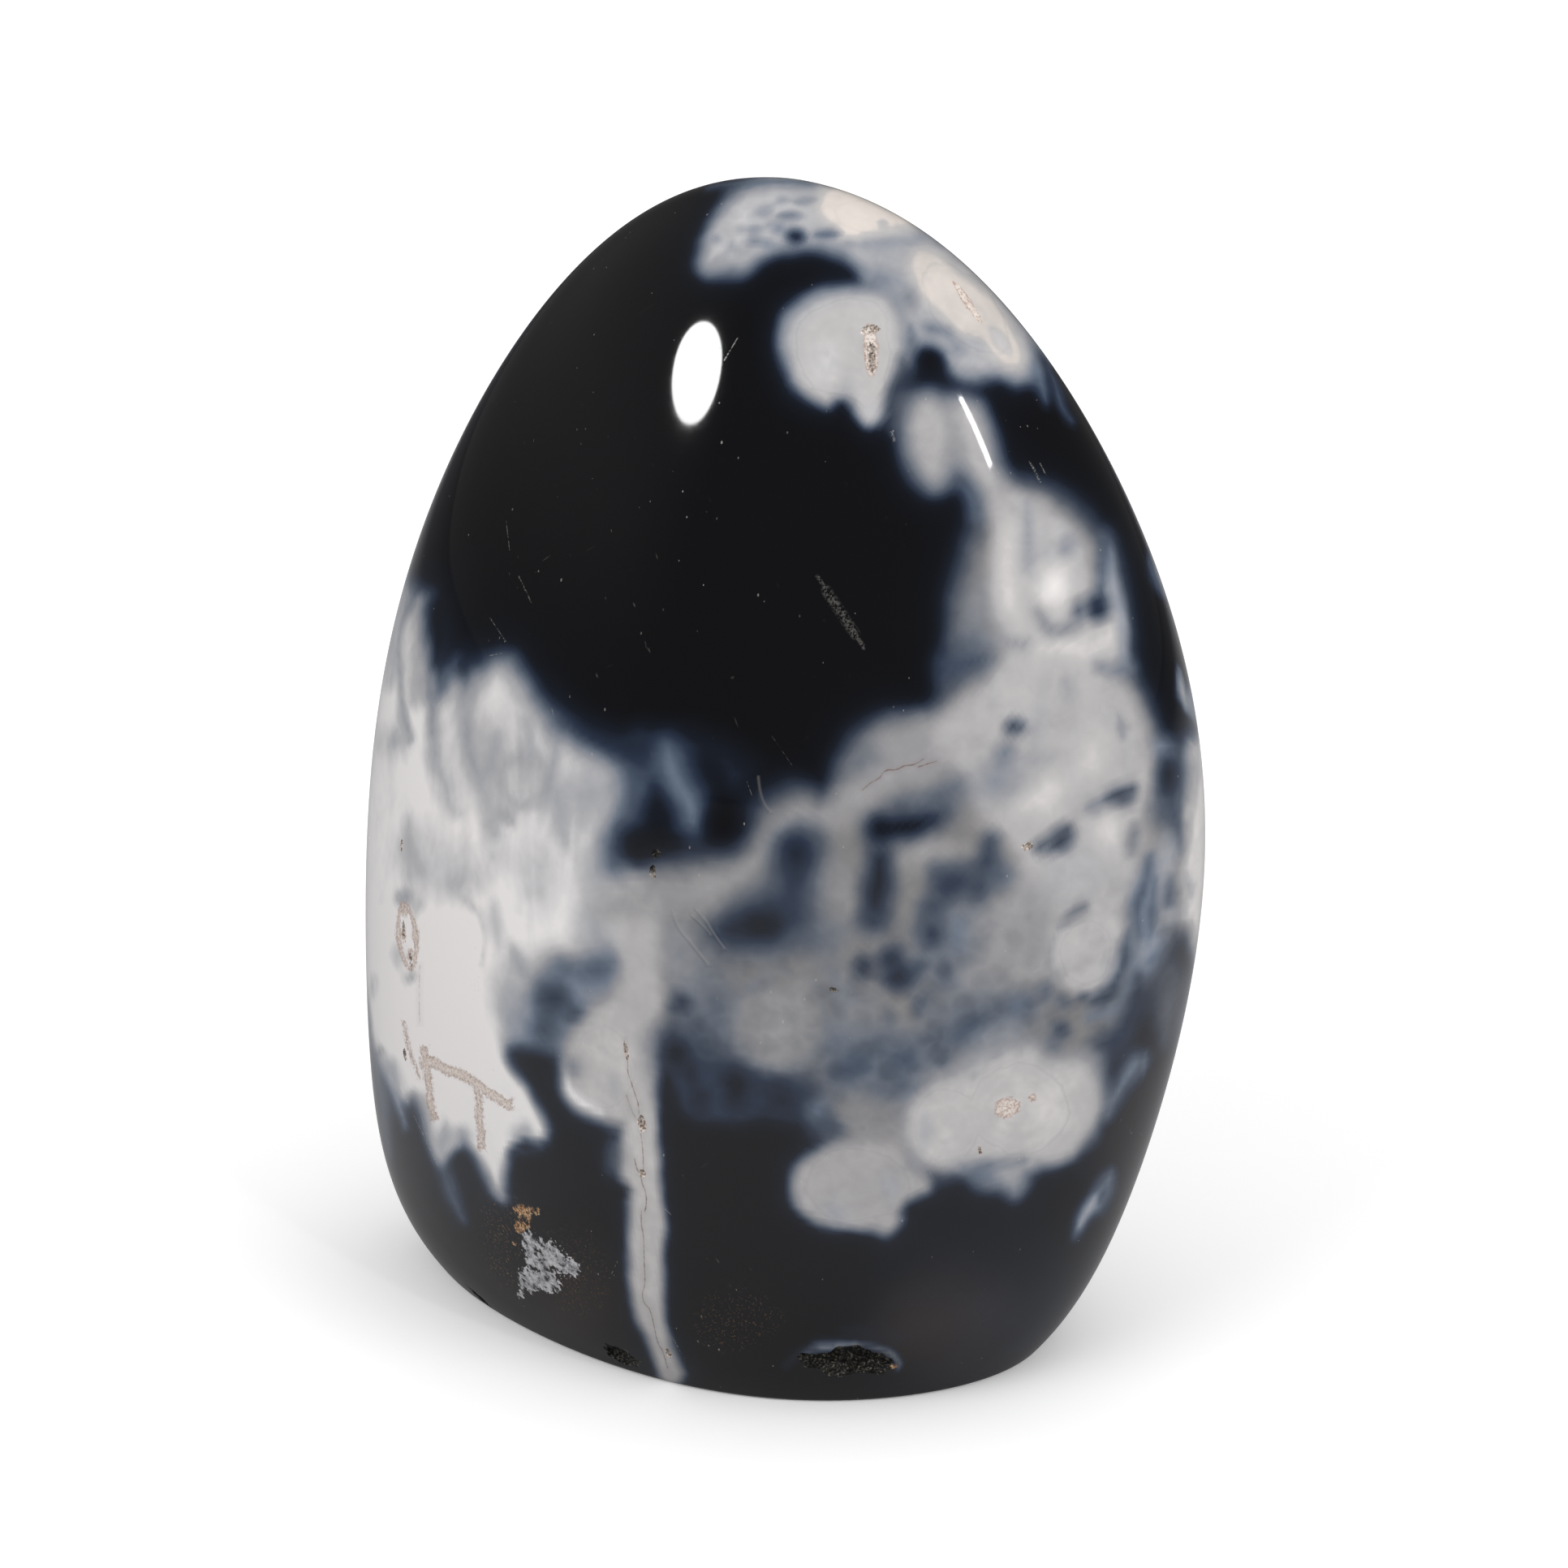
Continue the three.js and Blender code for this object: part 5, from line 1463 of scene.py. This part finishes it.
@dataclass(frozen=True)
class AgateFinish:
    """Polished orca agate: clear black stone with milky growths in it."""

    name: str = "polished_orca_agate"
    refraction: float = 1.54
    polish: float = 0.045
    # Colours from clear stone to the densest milk, as they look on a screen
    cool_milk: tuple = (
        (0.0, (9, 9, 12)), (0.12, (19, 25, 36)), (0.25, (41, 52, 71)), (0.4, (75, 87, 104)),
        (0.55, (109, 121, 138)), (0.7, (148, 154, 165)), (0.85, (187, 189, 194)), (1.0, (240, 238, 238)),
    )
    warm_milk: tuple = (
        (0.0, (11, 11, 13)), (0.12, (27, 29, 35)), (0.25, (54, 58, 66)), (0.4, (85, 86, 90)),
        (0.55, (120, 119, 119)), (0.7, (150, 147, 146)), (0.85, (187, 183, 181)), (1.0, (243, 238, 235)),
    )
    cream: tuple = (222, 211, 202)
    stain: tuple = ((0.1, (156, 126, 110)), (0.5, (204, 186, 174)), (0.85, (226, 216, 208)))
    scar: tuple = ((0.12, (54, 54, 57)), (0.4, (142, 142, 146)), (0.9, (204, 204, 206)))
    rust: tuple = ((0.1, (80, 52, 36)), (0.55, (182, 136, 92)), (0.9, (222, 196, 160)))
    raw_dark: tuple = ((0.15, (9, 9, 9)), (0.6, (30, 30, 28)), (0.95, (98, 95, 86)))
    raw_pale: tuple = ((0.1, (112, 98, 88)), (0.45, (198, 182, 170)), (0.8, (240, 235, 230)))
    crack: tuple = (104, 74, 66)
    glow: tuple = (92, 76, 64)
    # The pale colour of wear, also used for the painted glints on specks and wrinkles
    dust_and_glint: tuple = (168, 165, 158)
    sawn: tuple = (70, 70, 72)

    def milkiness(self, sheet: NodeSheet, place: Socket, face: Socket) -> Socket:
        """How milky the stone is, with its fine growth: clouds, cells, streaks and rings."""
        milk = sheet.read("milk")
        body = sheet.ease(milk, 0.04, 0.35)
        middling = sheet.math("MULTIPLY", milk, sheet.math("SUBTRACT", 1.12, milk))
        clouds = sheet.math("SUBTRACT", sheet.noise(place, 0.24, 2, 0.5, 0.3), 0.5)
        veils = sheet.math("SUBTRACT", sheet.noise(place, 0.7, 2, 0.5, 0.4), 0.5)
        amount = sheet.math("MULTIPLY_ADD", middling, 1.3, 0.02)
        change = sheet.math("MULTIPLY_ADD", clouds, 0.34, sheet.math("MULTIPLY", veils, 0.2))
        change = sheet.math("MULTIPLY", change, amount)
        swirl = sheet.add("ShaderNodeTexNoise", {"Vector": place, "Scale": 0.5, "Detail": 1}).outputs["Color"]
        moved = sheet.vector("ADD", place, sheet.vector("SCALE", swirl, scale=1.6).outputs[0]).outputs[0]
        cells = sheet.add("ShaderNodeTexVoronoi", {"Vector": moved, "Scale": 0.5}, feature="F1")
        dark = sheet.ease(cells.outputs["Distance"], 0.75, 0.15, 0.02, -0.05)
        dark = sheet.math("MULTIPLY", dark, sheet.read("net"))
        streaky = sheet.vector("MULTIPLY", face, (0.45, 0.12, 0)).outputs[0]
        streaks = sheet.math("SUBTRACT", sheet.noise(streaky, 1.0, 2, 0.5, 0.6), 0.5)
        streaks = sheet.math("MULTIPLY", sheet.math("MULTIPLY", streaks, 0.2), sheet.read("streaks"))
        rind = sheet.math("ADD", sheet.read("rind"), sheet.math("MULTIPLY", veils, 0.7))
        rings = sheet.math("SINE", sheet.math("MULTIPLY", rind, 6.2))
        line = sheet.ease(sheet.math("ABSOLUTE", sheet.math("ADD", rind, 0.75)), 0.2, 0.0)
        rings = sheet.math("MULTIPLY_ADD", line, -0.03, sheet.math("MULTIPLY", rings, 0.004))
        rings = sheet.math("MULTIPLY", rings, sheet.read("ringed"))
        for part in (dark, streaks, rings):
            change = sheet.math("ADD", change, part)
        return sheet.math("MULTIPLY_ADD", change, body, milk, clamp=True)

    def material(self) -> bpy.types.Material:
        """The finish."""
        made = bpy.data.materials.new(self.name)
        made.use_nodes = True
        made.node_tree.nodes.clear()
        sheet = NodeSheet(made.node_tree)
        object_place = sheet.add("ShaderNodeTexCoord").outputs["Object"]
        place = sheet.vector("SCALE", object_place, scale=1 / MM).outputs[0]
        face = sheet.read("face", "Vector")
        across, up, front = sheet.add("ShaderNodeSeparateXYZ", {0: face}).outputs[:]
        flat = sheet.vector("MULTIPLY", face, (1, 1, 0)).outputs[0]
        fine = sheet.noise(place, 2.4, 3, 0.6)
        grit = sheet.stretch(sheet.noise(place, 4.5, 3, 0.65), 0.34, 0.66, 0, 1)
        milk = self.milkiness(sheet, place, face)
        warmth = sheet.read("warmth")
        colour = sheet.mix(warmth, sheet.ramp(milk, self.cool_milk), sheet.ramp(milk, self.warm_milk))
        cream = sheet.math("MULTIPLY", sheet.ease(warmth, 0.86, 1.0), sheet.ease(milk, 0.7, 0.92, 0, 0.7))
        colour = sheet.mix(cream, colour, linear(self.cream))
        glow = sheet.math("MULTIPLY", sheet.read("glow"), sheet.ease(milk, 0.3, 0.0, 0, 0.4))
        colour = sheet.mix(glow, colour, linear(self.glow))
        # seams and stains
        ragged = sheet.math("MULTIPLY_ADD", grit, 0.22, sheet.math("MULTIPLY_ADD", fine, 0.7, -0.46))
        nearest = sheet.join_all("MINIMUM", [line.distance(sheet, across, up) for line in SEAMS])
        oval = oval_group()
        for stain in STAINS:
            values = {
                "Face": flat,
                "Centre": (*stain.centre, 0),
                "Half Size": (*stain.half, 1),
                "Turn": math.radians(stain.turn),
            }
            edge = sheet.add("ShaderNodeGroup", values, node_tree=oval).outputs[0]
            if stain.rim > 0:
                edge = sheet.math("SUBTRACT", sheet.math("ABSOLUTE", edge), stain.rim)
            nearest = sheet.math("MINIMUM", nearest, edge)
        nearest = sheet.math("ADD", nearest, ragged)
        on_front = sheet.ease(front, 0.5, 0.9)
        seam = sheet.math("MULTIPLY", sheet.ease(nearest, 0.16, -0.1), on_front)
        core = sheet.math("ADD", grit, sheet.ease(nearest, 0.0, -0.35, -0.25, 0.12))
        colour = sheet.mix(sheet.math("MULTIPLY", seam, 0.78), colour, sheet.ramp(core, self.stain))
        cracks = sheet.join_all("MINIMUM", [line.distance(sheet, across, up) for line in CRACKS])
        cracks = sheet.math("ADD", cracks, sheet.math("MULTIPLY_ADD", fine, 0.2, -0.1))
        crack = sheet.math("MULTIPLY", sheet.ease(cracks, 0.08, -0.02), on_front)
        blush = sheet.math("MULTIPLY", sheet.ease(cracks, 0.6, 0.0), sheet.math("MULTIPLY", on_front, 0.08))
        colour = sheet.mix(blush, colour, linear(self.crack))
        colour = sheet.mix(sheet.math("MULTIPLY", crack, 0.72), colour, linear(self.crack))
        # the scar, the rust beside it and the grains
        lumps = sheet.stretch(sheet.noise(place, 1.6, 2, 0.5), 0.3, 0.7, -0.1, 0.8)
        mottle = sheet.math("MULTIPLY_ADD", grit, 0.5, lumps)
        scar_gap = sheet.math("MULTIPLY_ADD", mottle, -0.7, sheet.math("ADD", sheet.read("scar"), 0.36))
        scar = sheet.math("MULTIPLY", sheet.ease(scar_gap, 0.1, -0.1), on_front)
        colour = sheet.mix(scar, colour, sheet.ramp(mottle, self.scar))
        rust_gap = sheet.math("MULTIPLY_ADD", fine, 1.0, sheet.math("ADD", sheet.read("rust"), -0.45))
        rust = sheet.math("MULTIPLY", sheet.ease(rust_gap, 0.1, -0.1), on_front)
        colour = sheet.mix(rust, colour, sheet.ramp(grit, self.rust))
        grains = sheet.math("MULTIPLY", sheet.ease(grit, 0.75, 1.0), sheet.read("grains"))
        colour = sheet.mix(sheet.math("MULTIPLY", grains, 0.45), colour, linear(self.rust[1][1]))
        # wear and painted glints: scratches, specks, fine hairs, and the painted glint along the wrinkles
        broken = sheet.ease(grit, 0.3, 0.75)
        scratches = []
        scratch = scratch_group()
        for mark in SCRATCHES:
            way = Vector((*mark.end, 0)) - Vector((*mark.start, 0))
            values = {
                "Face": flat,
                "Start": (*mark.start, 0),
                "Way": way,
                "Pace": way / way.length_squared,
                "Half Width": mark.half_width,
                "Grain": sheet.math("MULTIPLY", broken, mark.strength),
            }
            scratches.append(sheet.add("ShaderNodeGroup", values, node_tree=scratch).outputs[0])
        scratched = sheet.math("MULTIPLY", sheet.join_all("MAXIMUM", scratches), on_front)
        worn_and_glinting = sheet.read("worn_and_glinting")
        hairs = []
        for turn, stretched in ((0.5, (5.0, 5.0, 0.35)), (-0.9, (4.4, 4.4, 0.3))):
            values = {"Vector": place, "Angle": turn}
            leant = sheet.add("ShaderNodeVectorRotate", values, rotation_type="Y_AXIS").outputs[0]
            laid_out = sheet.vector("MULTIPLY", leant, stretched).outputs[0]
            hairs.append(sheet.ease(sheet.noise(laid_out, 0.5, 1, 0.5), 0.76, 0.84))
        amount = sheet.math("MULTIPLY_ADD", worn_and_glinting, 0.6, 0.03)
        hairy = sheet.math("MULTIPLY", sheet.join_all("MAXIMUM", hairs), amount)
        # pale specks, partly wear and partly painted glints
        drawn_out = sheet.vector("MULTIPLY", place, (1, 1, 0.55)).outputs[0]
        dots = sheet.add("ShaderNodeTexVoronoi", {"Vector": drawn_out, "Scale": 1.1}, feature="F1")
        picked = sheet.add("ShaderNodeSeparateXYZ", {0: dots.outputs["Color"]})
        gathered = sheet.ease(sheet.noise(place, 0.12, 1, 0.6), 0.42, 0.66, 0.75, 0.35)
        gathered = sheet.math("MULTIPLY_ADD", worn_and_glinting, -0.45, gathered)
        inputs = {"Value": picked.outputs[0], "From Min": gathered, "To Max": 0.1}
        size = sheet.add("ShaderNodeMapRange", inputs)
        specks_and_glints = sheet.math("LESS_THAN", dots.outputs["Distance"], size.outputs["Result"])
        specks_and_glints = sheet.math("MULTIPLY", specks_and_glints, sheet.stretch(picked.outputs[1], 0, 1, 0.2, 1.4))
        wrinkles = sheet.join_all("MINIMUM", [line.distance(sheet, across, up) for line in WRINKLES])
        # painted glint: the wrinkles are lightened in colour as if catching the light
        painted_wrinkle_glint = sheet.math("MULTIPLY", sheet.ease(wrinkles, 0.14, -0.06, 0, 0.45), on_front)
        # wear and painted glints together, mixed towards one pale colour
        wear_and_glint = sheet.join_all("MAXIMUM", (scratched, hairy, specks_and_glints, painted_wrinkle_glint))
        colour = sheet.mix(sheet.math("MULTIPLY", wear_and_glint, 0.34), colour, linear(self.dust_and_glint))
        # raw hollows and the sawn foot
        raw = sheet.math("GREATER_THAN", sheet.read("raw"), 0.5)
        raw_tones = (sheet.ramp(grit, self.raw_dark), sheet.ramp(grit, self.raw_pale))
        colour = sheet.mix(raw, colour, sheet.mix(sheet.ease(milk, 0.35, 0.85), *raw_tones))
        height = sheet.add("ShaderNodeSeparateXYZ", {0: place}).outputs[2]
        sawn = sheet.ease(height, 0.06, 0.01)
        saw_marks = sheet.noise(sheet.vector("MULTIPLY", place, (0.5, 9, 1)).outputs[0], 0.5, 1, 0.6)
        frost = sheet.math("MULTIPLY", sawn, sheet.stretch(saw_marks, 0.3, 0.7, 0.1, 0.35))
        colour = sheet.mix(frost, colour, linear(self.sawn))
        # gloss
        rough = sheet.math("MULTIPLY_ADD", fine, 0.03, self.polish - 0.015)
        dulled = (
            (seam, 0.5), (crack, 0.5), (scar, 0.75), (rust, 0.75), (grains, 0.3), (wear_and_glint, 0.4), (raw, 0.7),
            (sawn, 0.42),
        )
        for share, value in dulled:
            rough = sheet.blend(share, rough, value)
        # relief, in millimetres
        waves = sheet.math("MULTIPLY", sheet.noise(place, 0.1, 0), 0.05)
        relief = sheet.math("MULTIPLY_ADD", sheet.ease(wrinkles, 0.35, 0.0), 0.05, waves)
        rugged = sheet.math("MULTIPLY_ADD", grit, 0.4, -0.4)
        for share, depth in ((scar, 0.16), (rust, 0.2), (raw, 0.14)):
            relief = sheet.math("MULTIPLY_ADD", sheet.math("MULTIPLY", share, rugged), depth, relief)
        bump = sheet.add("ShaderNodeBump", {"Height": relief, "Distance": MM, "Strength": 1.0})
        skin = sheet.add(
            "ShaderNodeBsdfPrincipled",
            {"Base Color": colour, "Roughness": rough, "IOR": self.refraction, "Normal": bump.outputs[0]},
        )
        sheet.join(skin.outputs[0], sheet.add("ShaderNodeOutputMaterial").inputs[0])
        return made


@dataclass(frozen=True)
class Softbox:
    """A lamp of the studio.

    azimuth and elevation say where it stands as seen from the point it lights.
    """

    name: str
    azimuth: float
    elevation: float
    distance: float
    size: Point2
    power: float
    aim: Point3
    turn: float = 0.0
    mirrored: bool = True
    only_mirrored: bool = False

    def stand(self) -> bpy.types.Object:
        """Puts the lamp up."""
        lamp = bpy.data.lights.new(self.name, "AREA")
        lamp.shape = "ELLIPSE" if self.only_mirrored else "RECTANGLE"
        lamp.size, lamp.size_y = self.size[0] * MM, self.size[1] * MM
        lamp.energy = self.power
        made = bpy.data.objects.new(self.name, lamp)
        bpy.context.scene.collection.objects.link(made)
        a, e = math.radians(self.azimuth), math.radians(self.elevation)
        back = Vector((math.sin(a) * math.cos(e), -math.cos(a) * math.cos(e), math.sin(e)))
        made.location = (Vector(self.aim) + back * self.distance) * MM
        turned = Matrix.Rotation(math.radians(self.turn), 3, "Z").to_quaternion()
        made.rotation_euler = (back.to_track_quat("Z", "Y") @ turned).to_euler()
        made.visible_glossy = self.mirrored
        made.visible_diffuse = not self.only_mirrored
        return made


@dataclass
class Studio:
    """The plain pale floor, the soft light and the camera."""

    floor_size: float = 6000.0
    floor_tone: tuple = (255, 255, 255)
    floor_in_bounce: tuple = (170, 170, 172)
    floor_far_off: tuple = (84, 84, 86)
    floor_glow: float = 0.14
    lens_for: float = 14.0
    picture: int = 1932
    aim_in_picture: Point2 = (952, 914)
    sensor: float = 36.0
    lamps: tuple[Softbox, ...] = (
        Softbox("round_softbox", -37.5, 32.6, 1500, (450, 310), 8.0, (-1, -15, 91), 0, True, True),
        Softbox("strip_softbox", 57.0, 38.9, 1500, (40, 250), 1.2, (23.3, -8.5, 87.3), 14),
        Softbox("side_fill", 78, 15, 2000, (1100, 1100), 18.0, (0, 0, 50), 0, False),
        Softbox("left_fill", -16, 30, 2000, (1200, 1200), 14.5, (0, 0, 50), 0, False),
        Softbox("overhead", 105, 76, 2000, (1100, 1100), 5.0, (0, 0, 50), 0, False),
    )

    def lay_floor(self) -> None:
        """Lays the floor."""
        bpy.ops.object.select_all(action="DESELECT")
        bpy.ops.mesh.primitive_plane_add(size=self.floor_size * MM)
        floor = bpy.context.object
        floor.name = "pale_floor"
        paint = bpy.data.materials.new("pale_floor_paint")
        paint.use_nodes = True
        paint.node_tree.nodes.clear()
        sheet = NodeSheet(paint.node_tree)
        seen = sheet.add("ShaderNodeLightPath").outputs["Is Camera Ray"]
        place = sheet.add("ShaderNodeTexCoord").outputs["Object"]
        away = sheet.vector("LENGTH", place).outputs["Value"]
        tones = (linear(self.floor_in_bounce), linear(self.floor_far_off))
        bounced = sheet.mix(sheet.ease(away, 0.1, 0.7), *tones)
        colour = sheet.mix(seen, bounced, linear(self.floor_tone))
        glow = sheet.math("MULTIPLY", seen, self.floor_glow)
        inputs = {"Base Color": colour, "Roughness": 0.9, "Emission Strength": glow}
        matt = sheet.add("ShaderNodeBsdfPrincipled", inputs)
        matt.inputs["Emission Color"].default_value = (1, 1, 1, 1)
        matt.inputs["Specular IOR Level"].default_value = 0.0
        sheet.join(matt.outputs[0], sheet.add("ShaderNodeOutputMaterial").inputs[0])
        floor.data.materials.append(paint)

    def light(self) -> None:
        """Puts up the lamps and the room's even light."""
        for lamp in self.lamps:
            lamp.stand()
        room = bpy.data.worlds.new("studio_room")
        bpy.context.scene.world = room
        room.use_nodes = True
        room.node_tree.nodes.clear()
        sheet = NodeSheet(room.node_tree)
        path = sheet.add("ShaderNodeLightPath").outputs
        way = sheet.add("ShaderNodeTexCoord").outputs["Generated"]
        side = sheet.vector("DOT_PRODUCT", way, (-0.93, -0.2, 0.3)).outputs["Value"]
        rise = sheet.add("ShaderNodeSeparateXYZ", {0: way}).outputs[2]
        lit = sheet.math("MULTIPLY", sheet.ease(side, 0.6, 1.0, 0.0, 0.1), sheet.ease(rise, 0.0, 0.35))
        lit = sheet.math("ADD", lit, 0.1)
        strength = sheet.blend(path["Is Glossy Ray"], 0.66, lit)
        strength = sheet.blend(path["Is Camera Ray"], strength, 1.0)
        glow = sheet.add("ShaderNodeBackground", {"Color": (1, 1, 1, 1), "Strength": strength})
        sheet.join(glow.outputs[0], sheet.add("ShaderNodeOutputWorld").inputs[0])
        bpy.context.scene.view_settings.view_transform = "Standard"

    def place_camera(self) -> None:
        """Sets up the camera on the line of sight of the front."""
        lens = bpy.data.cameras.new("studio_camera")
        camera = bpy.data.objects.new("studio_camera", lens)
        bpy.context.scene.collection.objects.link(camera)
        across, up, into = VIEW.axes()
        camera.matrix_world = Matrix.Translation(Vector(VIEW.eye() * MM)) @ Matrix(
            np.stack([across, up, -into], 1).tolist()
        ).to_4x4()
        lens.sensor_width = self.sensor
        lens.lens = self.sensor * VIEW.distance * self.lens_for / self.picture
        half = self.picture / 2
        lens.shift_x = (half - self.aim_in_picture[0]) / self.picture
        lens.shift_y = (self.aim_in_picture[1] - half) / self.picture
        lens.clip_start, lens.clip_end = 0.01, 20.0
        bpy.context.scene.camera = camera

    def build(self) -> None:
        """Builds the studio."""
        self.place_camera()
        self.lay_floor()
        self.light()
        LOG.info("studio: %d lamps", len(self.lamps))


def main() -> None:
    """Builds the stone and the studio round it."""
    logging.basicConfig(level=logging.INFO, format="%(name)s: %(message)s")
    Studio().build()
    stone = PolishedStone()
    piece = stone.build()
    piece.data.materials.append(AgateFinish().material())
    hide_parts(NODE)
    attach(piece, BODY)
    LOG.info("dressed: %s stands for %s", piece.name, NODE)


if __name__ == "__main__":
    main()
